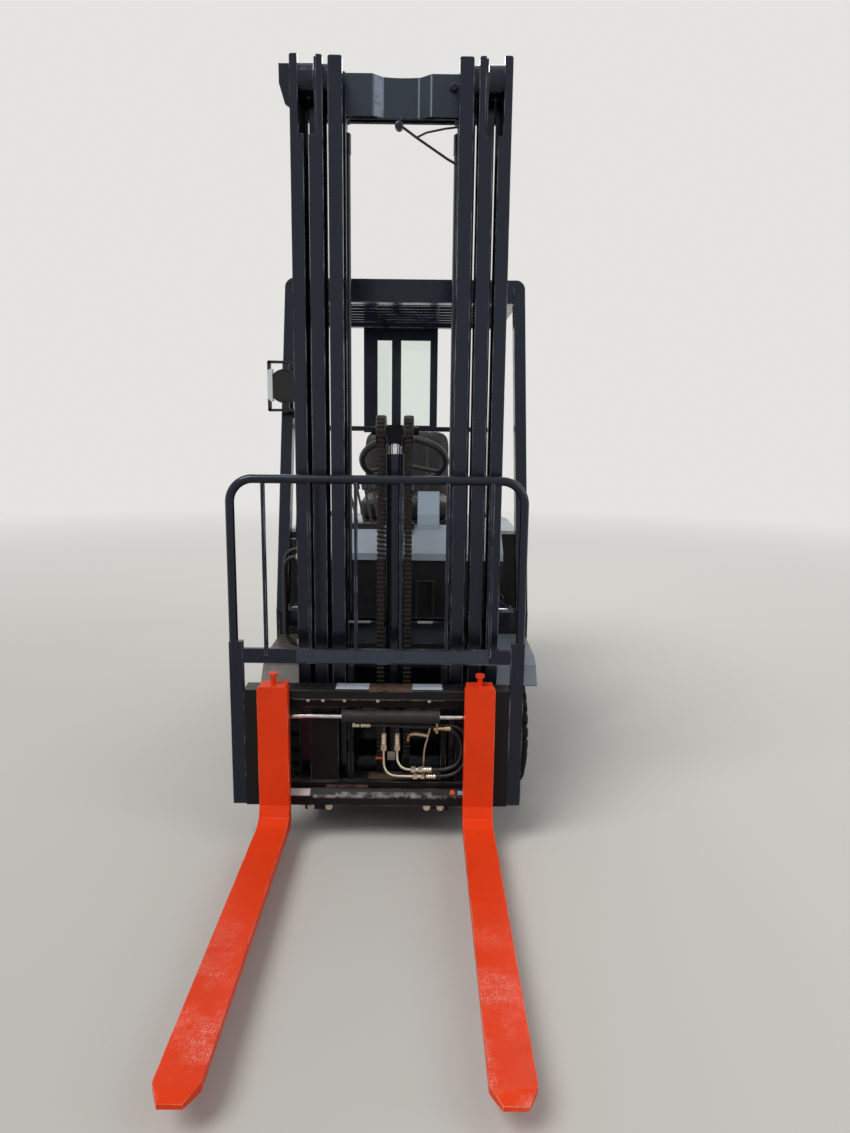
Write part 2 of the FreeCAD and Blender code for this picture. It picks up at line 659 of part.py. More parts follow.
def make_lamp():
    """Round work lamp in front of the driver's right post, with its bracket and grab tube."""
    x, y, z = guard_leg_at(LAMP_Z)
    front = y - GUARD_DEEP / 2
    centre = 4 - x
    outline = [(18, 0), (18, 30), (26, 50), (50, 66), (84, LAMP_R), (84, LAMP_R - 6),
               (68, LAMP_R - 6), (68, 0)]
    corners = [V(centre + r, front - depth, z) for depth, r in outline]
    face = Part.Face(Part.makePolygon(corners + corners[:1]))
    cup = face.revolve(V(centre, front, z), V(0, 1, 0), 360)
    posts = front_posts()
    stem = box(centre - 12, centre + 12, front - 40, front + 10, z - 10, z + 10)
    save("work_lamp", fuse([cup, stem]).cut(posts))
    save("lamp_lens", rod((centre, front - 68, z), (centre, front - 78, z), LAMP_R - 6.3))
    top = guard_leg_at(1450)
    low = guard_leg_at(930)
    inboard = GUARD_TUBE / 2 + 34
    grab = rod((inboard - top[0], top[1], top[2]), (inboard - low[0], low[1], low[2]), 14)
    links = [box(-point[0], inboard - point[0], point[1] - 10, point[1] + 10,
                 point[2] - 14, point[2] + 14) for point in (top, low)]
    save("grab_handle", fuse([grab] + links).cut(posts))


# Mast
def channel(x_web, x_tip, y0, z0, z1):
    """C-section rail: web at x_web, flanges running to x_tip, on the +X side."""
    y1 = y0 + RAIL_DEPTH
    step = WEB if x_tip > x_web else -WEB
    web = box(x_web, x_web + step, y0, y1, z0, z1)
    front = box(x_web, x_tip, y0, y0 + FLANGE, z0, z1)
    back = box(x_web, x_tip, y1 - FLANGE, y1, z0, z1)
    return fuse([web, front, back])


def beam(x_in, x_out, y0, z0, z1):
    """I-section rail on the +X side; its rear flange reaches out towards the next rail."""
    y1 = y0 + RAIL_DEPTH
    mid = (x_in + x_out) / 2
    web = box(mid - BEAM_WEB / 2, mid + BEAM_WEB / 2, y0, y1, z0, z1)
    front = box(x_in, x_out, y0, y0 + FLANGE, z0, z1)
    reach = x_out + RAIL_GAP - REAR_FLANGE_GAP
    back = box(x_in, reach, y1 - FLANGE, y1, z0, z1)
    return fuse([web, front, back])


def notch(tip, inner, y0, low, high):
    """Slot in a front flange from its tip inwards, open above, with a rounded lower corner."""
    sign = 1 if inner > tip else -1
    centre = inner - sign * NOTCH_ROUND
    front = y0 - 1
    back = y0 + FLANGE + 1
    return fuse([
        box(tip - sign, inner, front, back, low + NOTCH_ROUND, high + 1),
        box(tip - sign, centre, front, back, low, high),
        rod((centre, front, low + NOTCH_ROUND), (centre, back, low + NOTCH_ROUND), NOTCH_ROUND),
    ])


def top_round(x, sign, y0, high):
    """What is cut from a rail's upper corner at x to round it; sign points out of the rail."""
    x_centre = x - sign * RAIL_ROUND
    z_centre = high - RAIL_ROUND
    front = y0 - 1
    back = y0 + RAIL_DEPTH + 1
    block = box(x_centre, x + sign, front, back, z_centre, high + 1)
    return block.cut(rod((x_centre, front - 1, z_centre), (x_centre, back + 1, z_centre), RAIL_ROUND))


OUTER_IN = MAST_HALF - OUTER_FACE
MIDDLE_OUT = OUTER_IN - RAIL_GAP
MIDDLE_IN = MIDDLE_OUT - RAIL_FACE
INNER_OUT = MIDDLE_IN - RAIL_GAP
INNER_IN = INNER_OUT - RAIL_FACE

# One row a stage: inner edge, outer edge, front face, lower end
STAGES = {
    "outer": (OUTER_IN, MAST_HALF, 0.0, 70.0),
    "middle": (MIDDLE_IN, MIDDLE_OUT, -8.0, 80.0),
    "inner": (INNER_IN, INNER_OUT, -16.0, 90.0),
}
ROLLER_END = 3.0
MIDDLE_WEB = (MIDDLE_IN + MIDDLE_OUT) / 2
INNER_WEB = (INNER_IN + INNER_OUT) / 2
TIE_HIGH = 710.0
TIE_LOW = 640.0
MIDDLE_CROSS_Y = 152.0


def roller(x0, x1, y0, z):
    """Mast roller from the rail that carries it at x0 to x1, between flanges that start at y0."""
    y = y0 + RAIL_DEPTH / 2
    return rod((x0, y, z), (x1, y, z), ROLLER_R)


def make_outer_mast():
    x_in, x_out, y0, low = STAGES["outer"]
    rail = channel(x_out, x_in, y0, low, MAST_TOP)
    rail = rail.cut([notch(x_in, x_in + 16, y0, MAST_TOP - NOTCH_DEEP, MAST_TOP),
                     top_round(x_out, 1, y0, MAST_TOP)])
    back = y0 + RAIL_DEPTH
    cross_low = TOP_CROSS_LOW + 13
    top_web = box(x_in + 8, x_in + 22, back - 2, 228, cross_low, TOP_CROSS_HIGH)
    low_web = box(x_in + 2, x_in + 14, back - 2, 236, low, 330)
    mid_web = box(x_in + 8, x_in + 22, back - 2, 228, TIE_LOW, TIE_HIGH)
    clamp = plate_yz(
        [(160, 110), (AXLE_Y - 20, 130), (AXLE_Y - 20, 330), (230, 330), (160, 330)],
        x_in - 41, x_in - 11,
    )
    clamp = fuse([clamp, rod((x_in - 41, AXLE_Y, FRONT_R), (x_in - 11, AXLE_Y, FRONT_R), 100),
                  box(x_in - 41, x_in + 4, 156, 236, 110, 330)])
    clamp = clamp.cut(rod((x_in - 50, AXLE_Y, FRONT_R), (x_in, AXLE_Y, FRONT_R), AXLE_TUBE_R + 0.4))
    lug = fuse([
        box(TILT_X - 30, TILT_X - 20, 100, TILT_Y_FRONT + 24, TILT_Z_FRONT - 30, TILT_Z_FRONT + 30),
        box(TILT_X + 20, TILT_X + 30, 100, TILT_Y_FRONT + 24, TILT_Z_FRONT - 30, TILT_Z_FRONT + 30),
        box(x_out - 4, TILT_X + 30, 90, 136, TILT_Z_FRONT - 30, TILT_Z_FRONT + 30),
        rod((TILT_X - 30, TILT_Y_FRONT, TILT_Z_FRONT),
            (TILT_X + 30, TILT_Y_FRONT, TILT_Z_FRONT), TILT_PIN_R),
    ])
    top_roller = roller(x_out - WEB + 1, MIDDLE_WEB + BEAM_WEB / 2 + ROLLER_END,
                        STAGES["middle"][2], MAST_TOP - TOP_ROLLER_DROP)
    side = fuse([rail, top_web, low_web, mid_web, clamp, lug, top_roller])
    crosses = [
        box(-x_in - 22, x_in + 22, 214, 228, cross_low, TOP_CROSS_HIGH),
        box(-x_in - 22, x_in + 22, 214, 228, TIE_LOW, TIE_HIGH),
        box(-x_in - 3, x_in + 3, 156, 236, low, 96),
        box(-x_in - 3, x_in + 3, 222, 236, low, 330),
    ]
    edge = -x_out - 42
    bracket = plate_xz(
        [(edge, MAST_TOP - 5), (4 - x_out, MAST_TOP - 5), (4 - x_out, MAST_TOP - 136),
         (-x_out - 4, MAST_TOP - 136), (edge + 18, MAST_TOP - 122), (edge, MAST_TOP - 62)],
        60, 72,
    )
    save("mast_outer", fuse(both(side) + crosses + [bracket]))
    barrels = []
    for x in (-LIFT_X, LIFT_X):
        barrel = rod((x, LIFT_Y, 96), (x, LIFT_Y, LIFT_BARREL_TOP), LIFT_BARREL_R)
        gland = rod((x, LIFT_Y, LIFT_BARREL_TOP - 60), (x, LIFT_Y, LIFT_BARREL_TOP), 30)
        bore = rod((x, LIFT_Y, 140), (x, LIFT_Y, LIFT_BARREL_TOP + 1), LIFT_ROD_R + PIN_PLAY)
        barrels.append(fuse([barrel, gland]).cut(bore))
    save("lift_cylinder_barrels", *barrels)


def make_middle_mast():
    x_in, x_out, y0, low = STAGES["middle"]
    high = MAST_TOP - 5
    rail = beam(x_in, x_out, y0, low, high)
    rail = rail.cut([notch(x_out, x_out - 24, y0, high - NOTCH_DEEP, high),
                     top_round(x_in, -1, y0, high)])
    back = y0 + RAIL_DEPTH - 2
    cross_low = TOP_CROSS_LOW + 5
    cross_high = TOP_CROSS_HIGH - 5
    cross_back = MIDDLE_CROSS_Y + 12
    tie = box(x_in, x_in + 14, back, cross_back, cross_low, cross_high)
    low_tie = box(x_in, x_in + 14, back, 148, 90, 210)
    low_roller = roller(MIDDLE_WEB, MAST_HALF - WEB - ROLLER_END, STAGES["outer"][2], low + 60)
    top_roller = roller(MIDDLE_WEB, INNER_WEB + BEAM_WEB / 2 + ROLLER_END,
                        STAGES["inner"][2], high - TOP_ROLLER_DROP)
    side = fuse([rail, tie, low_tie, low_roller, top_roller])
    crosses = [
        box(-x_in, x_in, MIDDLE_CROSS_Y, cross_back, cross_low, cross_high),
        box(-x_in, x_in, 134, 148, 100, 200),
    ]
    lugs = both(box(LIFT_X - LIFT_LUG, LIFT_X + LIFT_LUG, MIDDLE_CROSS_Y, LIFT_Y + 24,
                    LIFT_ROD_TOP, LIFT_ROD_TOP + LIFT_LUG))
    save("mast_middle", fuse(both(side) + crosses + lugs))
    rods = []
    for x in (-LIFT_X, LIFT_X):
        rods.append(rod((x, LIFT_Y, 600), (x, LIFT_Y, LIFT_ROD_TOP), LIFT_ROD_R))
    save("lift_rods", *rods)


def make_inner_mast():
    x_in, x_out, y0, low = STAGES["inner"]
    high = MAST_TOP - 10
    rail = beam(x_in, x_out, y0, low, high)
    rail = rail.cut([top_round(x_in, -1, y0, high), top_round(x_out, 1, y0, high)])
    back = y0 + RAIL_DEPTH - 2
    tie = box(x_in, x_in + 12, back, 126, 100, 160)
    low_roller = roller(INNER_WEB, MIDDLE_WEB - BEAM_WEB / 2 - ROLLER_END,
                        STAGES["middle"][2], low + 60)
    side = fuse([rail, tie, low_roller])
    bend_out = x_in / 2 + 5
    bend_in = x_in / 3
    top_cross = plate_xy(
        [(-x_out, back), (-bend_out, back), (-bend_in, back + 20), (bend_in, back + 20),
         (bend_out, back), (x_out, back), (x_out, back + 10), (bend_out - 4, back + 10),
         (bend_in - 4, back + 30), (4 - bend_in, back + 30), (4 - bend_out, back + 10),
         (-x_out, back + 10)],
        TOP_CROSS_LOW, TOP_CROSS_HIGH,
    )
    dip_r = (bend_out ** 2 + CROSS_DIP ** 2) / (2 * CROSS_DIP)
    dip_z = TOP_CROSS_HIGH - CROSS_DIP + dip_r
    top_cross = top_cross.cut(rod((0, back - 1, dip_z), (0, back + 31, dip_z), dip_r))
    crosses = [
        top_cross,
        box(-x_out + 2, x_out - 2, back, 126, TIE_LOW, TIE_HIGH + 10),
        box(-x_in, x_in, 20, 126, 96, 118),
        box(RAM_X - 34, RAM_X + 34, 70, 126, 660, 700),
    ]
    seat = rod((RAM_X, RAM_Y, 600), (RAM_X, RAM_Y, 760), RAM_BARREL_R + 0.3)
    save("mast_inner", fuse(both(side) + crosses).cut(seat))
    barrel = rod((RAM_X, RAM_Y, 118), (RAM_X, RAM_Y, RAM_BARREL_TOP), RAM_BARREL_R)
    bore = rod((RAM_X, RAM_Y, 160), (RAM_X, RAM_Y, RAM_BARREL_TOP + 1), RAM_ROD_R + PIN_PLAY)
    save("free_lift_barrel", barrel.cut(bore))


def sheave(x):
    """Grooved chain sheave on an axle along X."""
    half = SHEAVE_WIDE / 2
    groove = CHAIN_WIDE / 2 + 1
    outline = [
        (-half, 14), (-half, SHEAVE_R), (-groove, SHEAVE_R), (-groove, SHEAVE_R - 7),
        (groove, SHEAVE_R - 7), (groove, SHEAVE_R), (half, SHEAVE_R), (half, 14),
    ]
    return ring_x([(x + px, r) for px, r in outline], RAM_Y, SHEAVE_Z)


def leaf_chain(x, y, low, high):
    """Upright leaf chain centred at x and y: outer links, and between them narrower inner ones."""
    links = []
    count = int((high - low) // CHAIN_PITCH)
    for step in range(count + 1):
        bottom = low + step * CHAIN_PITCH
        top = min(bottom + CHAIN_PITCH, high)
        if top - bottom < 1:
            continue
        inset = INNER_LINK_STEP if step % 2 else 0.0
        half = CHAIN_WIDE / 2 - inset
        thick = CHAIN_THICK / 2 - inset / 2
        links.append(box(x - half, x + half, y - thick, y + thick, bottom, top))
    return fuse(links)


def chain_positions():
    return (RAM_X - SHEAVE_OFFSET, RAM_X + SHEAVE_OFFSET)


def make_free_lift():
    """Ram with its crosshead and axle, the two sheaves, and the chains over them."""
    ram = rod((RAM_X, RAM_Y, 480), (RAM_X, RAM_Y, SHEAVE_Z - 20), RAM_ROD_R)
    head = box(RAM_X - 26, RAM_X + 26, RAM_Y - 26, RAM_Y + 26, SHEAVE_Z - 40, SHEAVE_Z + 20)
    axle = rod((RAM_X - 80, RAM_Y, SHEAVE_Z), (RAM_X + 80, RAM_Y, SHEAVE_Z), 13.9)
    save("free_lift_ram", fuse([ram, head, axle]))
    save("chain_sheaves", *[sheave(x) for x in chain_positions()])
    radius_in = SHEAVE_R - 6.5
    radius_out = radius_in + CHAIN_THICK
    half = CHAIN_WIDE / 2
    wraps = []
    fronts = []
    backs = []
    for x in chain_positions():
        ring = tube((x - half, RAM_Y, SHEAVE_Z), (x + half, RAM_Y, SHEAVE_Z), radius_out, radius_in)
        upper = ring.common(box(x - half, x + half, -60, 160, SHEAVE_Z, SHEAVE_Z + 80))
        radius_mid = (radius_in + radius_out) / 2
        wraps.append(fuse([upper, leaf_chain(x, RAM_Y + radius_mid, WRAP_LOW, SHEAVE_Z)]))
        fronts.append(leaf_chain(x, RAM_Y - radius_mid, CHAIN_LOW, SHEAVE_Z))
        low_y = RAM_Y + radius_out + 5
        backs.append(fuse([
            leaf_chain(x, low_y + CHAIN_THICK / 2, ANCHOR_Z, SHEAVE_Z - 20),
            box(x - half, x + half, low_y, 126, ANCHOR_Z, ANCHOR_Z + 12),
        ]))
    save("chain_wrap", *wraps)
    save("chain_front", *fronts)
    save("chain_anchor_strand", *backs)


# Carriage with its side shifter
SHIFT_BARREL_X = -20.0
SHIFT_BARREL_HALF = 165.0
SHIFT_ROD_Y = -102.0
SHIFT_ROD_R = 8.5
SHIFT_BARREL_R = 22.5
SHIFT_ROD_Z = 444.0
SHIFT_HALF = 443.0
BAR_FRONT = -95.0
BAR_BACK = -68.0
BAR_PLATE = 14.0
TOP_BAR_LOW = 472.0
LOW_BAR_HIGH = 205.0
LOW_HOOK_HIGH = 172.0
ANCHOR_LEDGE = 195.0
CARRIAGE_SIDE = INNER_IN - 30
FRONT_BAR_HIGH = 30.0
SHIFT_END = SHIFT_HALF - FORK_SPREAD - FORK_WIDE / 2


def make_carriage():
    """Roller carriage that the side shifter hangs on, with the lower chain anchors."""
    plate_front = BAR_BACK - BAR_PLATE
    rib_front = BAR_BACK - 8
    plate = plate_yz(
        [(-46, 168), (96, 168), (96, 600), (-46, 600), (-46, TOP_BAR_LOW + 24),
         (BAR_BACK, TOP_BAR_LOW), (rib_front, TOP_BAR_LOW), (rib_front, LOW_BAR_HIGH),
         (BAR_BACK, LOW_BAR_HIGH), (-46, LOW_BAR_HIGH - 5)],
        CARRIAGE_SIDE, CARRIAGE_SIDE + 18,
    )
    roller_out = INNER_WEB - BEAM_WEB / 2 - ROLLER_END
    inner_y = STAGES["inner"][2]
    rollers = fuse([roller(CARRIAGE_SIDE + 10, roller_out, inner_y, 232),
                    roller(CARRIAGE_SIDE + 10, roller_out, inner_y, 530)])
    cheek = box(CARRIAGE_SIDE + 50, CARRIAGE_SIDE + 145, plate_front, BAR_BACK,
                LOW_BAR_HIGH, TOP_BAR_LOW)
    bar_end = SHIFT_HALF - 23
    bars = [
        box(-bar_end, bar_end, BAR_FRONT, BAR_BACK, TOP_BAR_LOW, 520),
        box(-bar_end, bar_end, BAR_FRONT, BAR_BACK, 153, LOW_BAR_HIGH),
        box(-CARRIAGE_SIDE - 1, CARRIAGE_SIDE + 1, BAR_BACK - 1, 13, ANCHOR_LEDGE - 12, ANCHOR_LEDGE),
    ]
    anchors = []
    for x in chain_positions():
        anchors.append(box(x - 13, x + 13, -9, 11, ANCHOR_LEDGE - 1, CHAIN_LOW))
        anchors.append(rod((x, 1, ANCHOR_LEDGE - 40), (x, 1, ANCHOR_LEDGE - 11), 8))
        anchors.append(rod((x, 1, ANCHOR_LEDGE - 30), (x, 1, ANCHOR_LEDGE - 12), 14))
    save("carriage", fuse(both(plate) + both(rollers) + both(cheek) + bars + anchors))
    left = SHIFT_BARREL_X - SHIFT_BARREL_HALF
    right = SHIFT_BARREL_X + SHIFT_BARREL_HALF
    barrel = tube((left, SHIFT_ROD_Y, SHIFT_ROD_Z), (right, SHIFT_ROD_Y, SHIFT_ROD_Z),
                  SHIFT_BARREL_R, SHIFT_ROD_R + PIN_PLAY)
    feet = [box(SHIFT_BARREL_X + dx - 12, SHIFT_BARREL_X + dx + 12, SHIFT_ROD_Y + 12, BAR_BACK - 4,
                SHIFT_ROD_Z, TOP_BAR_LOW - PLAY) for dx in (-110, 110)]
    save("shift_barrel", fuse([barrel] + feet))


def make_side_shifter():
    """Frame that slides across the carriage: fork bars, hooks, lugs and the chromed rod."""
    x0 = SIDE_SHIFT - SHIFT_HALF
    x1 = SIDE_SHIFT + SHIFT_HALF
    pieces = [
        box(x0, x1, CARRIAGE_FRONT, -100, CARRIAGE_HIGH - FRONT_BAR_HIGH, CARRIAGE_HIGH),
        box(x0, x1, CARRIAGE_FRONT, -51, 525, CARRIAGE_HIGH),
        box(x0, x1, -63, -51, 500, CARRIAGE_HIGH),
        plate_yz([(CARRIAGE_FRONT, CARRIAGE_LOW), (CARRIAGE_FRONT, CARRIAGE_LOW + 32), (-108, 186),
                  (-100, 186), (-100, CARRIAGE_LOW)], x0, x1),
        box(x0, x0 + SHIFT_END, CARRIAGE_FRONT, -104, CARRIAGE_LOW, CARRIAGE_HIGH),
        box(x1 - SHIFT_END, x1, CARRIAGE_FRONT, -104, CARRIAGE_LOW, CARRIAGE_HIGH),
    ]
    for side in (-1, 1):
        centre = SIDE_SHIFT + side * 205
        pieces.append(box(centre - 40, centre + 40, CARRIAGE_FRONT + 6, -51, 118, 148))
        pieces.append(box(centre - 40, centre + 40, -63, -51, 118, LOW_HOOK_HIGH))
        inner = SIDE_SHIFT + side * 300
        pieces.append(box(inner, inner + side * 18, CARRIAGE_FRONT + 2, SHIFT_ROD_Y + 14,
                          SHIFT_ROD_Z - 18, SHIFT_ROD_Z + 22))
        pieces.append(box(inner, inner + side * 18, CARRIAGE_FRONT + 2, -100,
                          SHIFT_ROD_Z + 20, CARRIAGE_HIGH - FRONT_BAR_HIGH + 1))
    save("shift_frame", fuse(pieces))
    ram = rod((SIDE_SHIFT - 300, SHIFT_ROD_Y, SHIFT_ROD_Z),
              (SIDE_SHIFT + 300, SHIFT_ROD_Y, SHIFT_ROD_Z), SHIFT_ROD_R)
    save("shift_rod", ram)


def make_backrest():
    """Tube hoop with thin bars, a flat cross bar and side plates bolted to the shifter."""
    r = BACKREST_TUBE / 2
    x_left = SIDE_SHIFT - BACKREST_HALF + r
    x_right = SIDE_SHIFT + BACKREST_HALF - r
    z_top = BACKREST_TOP - r
    bend = 75.0
    y = -117.0
    arc_left = Part.Arc(V(x_left, y, z_top - bend), V(x_left + bend * (1 - math.sqrt(0.5)), y,
                        z_top - bend * (1 - math.sqrt(0.5))), V(x_left + bend, y, z_top))
    arc_right = Part.Arc(V(x_right - bend, y, z_top), V(x_right - bend * (1 - math.sqrt(0.5)), y,
                         z_top - bend * (1 - math.sqrt(0.5))), V(x_right, y, z_top - bend))
    path = Part.Wire([
        Part.makeLine(V(x_left, y, 560), V(x_left, y, z_top - bend)), arc_left.toShape(),
        Part.makeLine(V(x_left + bend, y, z_top), V(x_right - bend, y, z_top)), arc_right.toShape(),
        Part.makeLine(V(x_right, y, z_top - bend), V(x_right, y, 560)),
    ])
    section = Part.Wire([Part.makeCircle(r, V(x_left, y, 560), V(0, 0, 1))])
    hoop = path.makePipeShell([section], True, False)
    flat = box(x_left, x_right, y - 9, y + 5, 634, 684)
    bars = []
    for share in (-366, -219, -69, 77, 227, 370):
        x = SIDE_SHIFT + share
        bars.append(box(x - 5, x + 5, y - 12, y + 12, 660, z_top))
    cheeks = []
    for side, x in ((-1, x_left), (1, x_right)):
        outer = x + side * r
        cheeks.append(box(outer, outer - side * 44, y - 13, y + 13, CARRIAGE_LOW + 4, 708))
    save("load_backrest", fuse([hoop, flat] + bars + cheeks))


def make_forks():
    """L-shaped forks with hooks over the fork bars and a locking pin on top."""
    for name, side in SIDES:
        x = SIDE_SHIFT + side * FORK_SPREAD
        back = CARRIAGE_FRONT - 0.5
        face = back - FORK_THICK
        heel = 52.0
        profile = [
            (back, FORK_TOP), (back, BLADE_LOW + 30), (back - 22, BLADE_LOW),
            (TIP_Y + 30, BLADE_LOW + 20), (TIP_Y, BLADE_LOW + 24), (TIP_Y, BLADE_LOW + FORK_THICK - 4),
            (TIP_Y + 40, BLADE_LOW + FORK_THICK), (face - heel, BLADE_LOW + FORK_THICK),
            (face - heel * 0.3, BLADE_LOW + FORK_THICK + heel * 0.3),
            (face, BLADE_LOW + FORK_THICK + heel), (face, FORK_TOP),
        ]
        shape = plate_yz(profile, x - FORK_WIDE / 2, x + FORK_WIDE / 2)
        tip = plate_xy(
            [(x - 50, TIP_Y + 50), (x - 26, TIP_Y), (x + 26, TIP_Y), (x + 50, TIP_Y + 50),
             (x + 60, TIP_Y + 50), (x + 60, TIP_Y - 5), (x - 60, TIP_Y - 5), (x - 60, TIP_Y + 50)],
            0, 200,
        )
        edge = FORK_WIDE / 2
        corners = []
        for end in (-1, 1):
            corners.append(plate_xz(
                [(x + end * (edge - FORK_CHAMFER), FORK_TOP + 1), (x + end * (edge + 1), FORK_TOP + 1),
                 (x + end * (edge + 1), FORK_TOP - FORK_CHAMFER)],
                face - 1, back + 1,
            ))
        hook = fuse([
            box(x - 44, x + 44, back, -98, CARRIAGE_HIGH + 1, FORK_TOP),
            box(x - 44, x + 44, back - 1, back + 0.1, CARRIAGE_HIGH + 1, FORK_TOP),
        ])
        pin = fuse([
            rod((x, back - 8, FORK_TOP - 1), (x, back - 8, FORK_TOP + 34), 9),
            rod((x, back - 8, FORK_TOP + 30), (x, back - 8, FORK_TOP + 40), 15),
        ])
        save("fork_" + name, fuse([shape.cut([tip] + corners), hook, pin]))


def main():
    os.makedirs("parts", exist_ok=True)
    make_wheels()
    make_drive_axle()
    make_steer_axle()
    make_knuckles()
    make_chassis()
    make_floor()
    make_fenders()
    make_tilt_cylinders()
    make_cowl()
    make_steering()
    make_levers()
    make_deck_and_seat()
    make_battery()
    make_counterweight()
    make_guard()
    make_rear_window()
    make_lamp()
    make_outer_mast()
    make_middle_mast()
    make_inner_mast()
    make_free_lift()
    make_carriage()
    make_side_shifter()
    make_backrest()
    make_forks()
    print("shift", tuple(SHIFT))


main()
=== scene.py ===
"""Looks of a sit-down counterbalance forklift, dressed over its solids.

Metres, +Z up, forks to -Y. A new piece takes its place from the solids' boxes, so it stays
seated on what carries it.
"""

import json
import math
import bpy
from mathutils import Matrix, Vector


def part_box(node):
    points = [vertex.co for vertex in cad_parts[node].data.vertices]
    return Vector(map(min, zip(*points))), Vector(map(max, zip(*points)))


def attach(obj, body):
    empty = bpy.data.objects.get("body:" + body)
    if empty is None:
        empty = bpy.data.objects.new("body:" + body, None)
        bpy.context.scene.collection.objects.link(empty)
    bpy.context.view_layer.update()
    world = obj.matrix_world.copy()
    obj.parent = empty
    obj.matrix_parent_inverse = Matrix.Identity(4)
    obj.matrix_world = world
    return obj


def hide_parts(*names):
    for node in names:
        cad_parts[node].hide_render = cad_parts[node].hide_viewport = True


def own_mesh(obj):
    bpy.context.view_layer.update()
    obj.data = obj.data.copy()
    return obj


bl_info = {
    "name": "Counterbalance forklift",
    "version": (1, 0, 0),
    "blender": (4, 5, 0),
    "location": "View3D > Sidebar > Forklift",
    "description": "Finishes and small pieces of a forklift with a three-stage mast",
    "category": "Object",
}

import bpy
import numpy as np
from bpy.props import FloatProperty, FloatVectorProperty, IntProperty, PointerProperty
from mathutils import Matrix, Vector

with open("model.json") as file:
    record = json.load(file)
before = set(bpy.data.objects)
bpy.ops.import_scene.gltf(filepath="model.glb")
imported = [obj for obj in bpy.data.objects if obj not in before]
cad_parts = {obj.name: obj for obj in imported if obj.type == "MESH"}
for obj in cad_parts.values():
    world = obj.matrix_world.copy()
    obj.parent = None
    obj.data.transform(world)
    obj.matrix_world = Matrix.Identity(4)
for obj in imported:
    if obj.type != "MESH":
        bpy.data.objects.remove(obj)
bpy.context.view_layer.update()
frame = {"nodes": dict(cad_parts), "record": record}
BARREL_OFF_CENTRE = 0.020
BARREL_BEFORE_MAST = 0.1245
X_AXIS, Y_AXIS, Z_AXIS = np.eye(3)
# A direction that no piece's axis follows
ASKEW = (0.31, 0.52, 0.79)


class ForkliftColours(bpy.types.PropertyGroup):
    """Colours that a user would change."""
    # The blue in this black is partly a painted bluish sheen, on top of the paint's own colour.
    black: FloatVectorProperty(
        name="Black paint", description="Mast, guard and backrest", subtype="COLOR",
        default=(0.0060, 0.0072, 0.0140), min=0, max=1)
    orange: FloatVectorProperty(
        name="Fork paint", description="Both forks", subtype="COLOR",
        default=(0.75, 0.048, 0.009), min=0, max=1)
    grey: FloatVectorProperty(
        name="Body grey", description="Cowl, battery cover and counterweight", subtype="COLOR",
        default=(0.29, 0.34, 0.40), min=0, max=1)
    grime: FloatVectorProperty(
        name="Grime", description="Brown dirt on the carriage", subtype="COLOR",
        default=(0.045, 0.030, 0.021), min=0, max=1)


class ForkliftSizes(bpy.types.PropertyGroup):
    """Sizes that a user would change."""
    chain_pitch: FloatProperty(
        name="Chain pitch", description="Distance between chain pins", unit="LENGTH",
        default=0.0159, min=0.01, max=0.04)
    chain_plates: IntProperty(
        name="Chain plates", description="Plates side by side on one pin", default=5, min=3, max=9)
    hose_radius: FloatProperty(
        name="Hose radius", description="Outer radius of a hydraulic hose", unit="LENGTH",
        default=0.0070, min=0.004, max=0.02)
    lens: FloatProperty(
        name="Lens", description="Focal length over a 36 mm tall frame, in mm", default=25.63,
        min=10, max=80)


def colours():
    return bpy.context.scene.forklift_colours


def sizes():
    return bpy.context.scene.forklift_sizes


def mast_zero():
    """Where the truck's centre plane meets the mast's front face on the floor.

    It lies beside and behind the shifter's barrel, whose box gives it.
    """
    low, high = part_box("shift_barrel")
    return np.array(((low.x + high.x) / 2 + BARREL_OFF_CENTRE, low.y + BARREL_BEFORE_MAST, 0.0))


# Mesh from arrays
def make_mesh(name, points, faces):
    """Object from an (n, 3) array of points and an array or list of faces."""
    mesh = bpy.data.meshes.new(name)
    mesh.from_pydata(np.asarray(points).tolist(), [], [tuple(int(i) for i in f) for f in faces])
    mesh.validate()
    mesh.update()
    piece = bpy.data.objects.new(name, mesh)
    bpy.context.scene.collection.objects.link(piece)
    return piece


def corners_of(node):
    """Low and high corner of a node's box."""
    return [np.array(corner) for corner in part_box(node)]


def points_of(mesh):
    points = np.empty(len(mesh.vertices) * 3)
    mesh.vertices.foreach_get("co", points)
    return points.reshape(-1, 3)


def set_points(mesh, points):
    mesh.vertices.foreach_set("co", points.ravel())
    mesh.update()


def unit(vectors):
    """Vectors of length 1 in the same directions."""
    return vectors / np.linalg.norm(vectors, axis=-1, keepdims=True)


def grid_faces(rows, columns, wrap_rows=False, wrap_columns=False):
    """Quads between neighbours of a grid of points, as an array of four indices a quad."""
    r = np.arange(rows if wrap_rows else rows - 1)
    c = np.arange(columns if wrap_columns else columns - 1)
    r, c = np.meshgrid(r, c, indexing="ij")
    r2 = (r + 1) % rows
    c2 = (c + 1) % columns
    quads = np.stack((r * columns + c, r * columns + c2, r2 * columns + c2, r2 * columns + c), -1)
    return quads.reshape(-1, 4)


def tube_faces(rings, sides):
    """Quads round a tube of rings, and a face at each end."""
    quads = [tuple(quad) for quad in grid_faces(rings, sides, wrap_columns=True)]
    return quads + [tuple(range(sides)), tuple(rings * sides - 1 - i for i in range(sides))]


def rectangle(left, right, low, high):
    """Corners (a, b) of a rectangle."""
    return [(left, low), (right, low), (right, high), (left, high)]


def circle(count, radius=1.0):
    """Points (a, b) evenly spaced on a circle."""
    angle = 2 * math.pi * np.arange(count) / count
    return np.stack((np.cos(angle), np.sin(angle)), -1) * radius


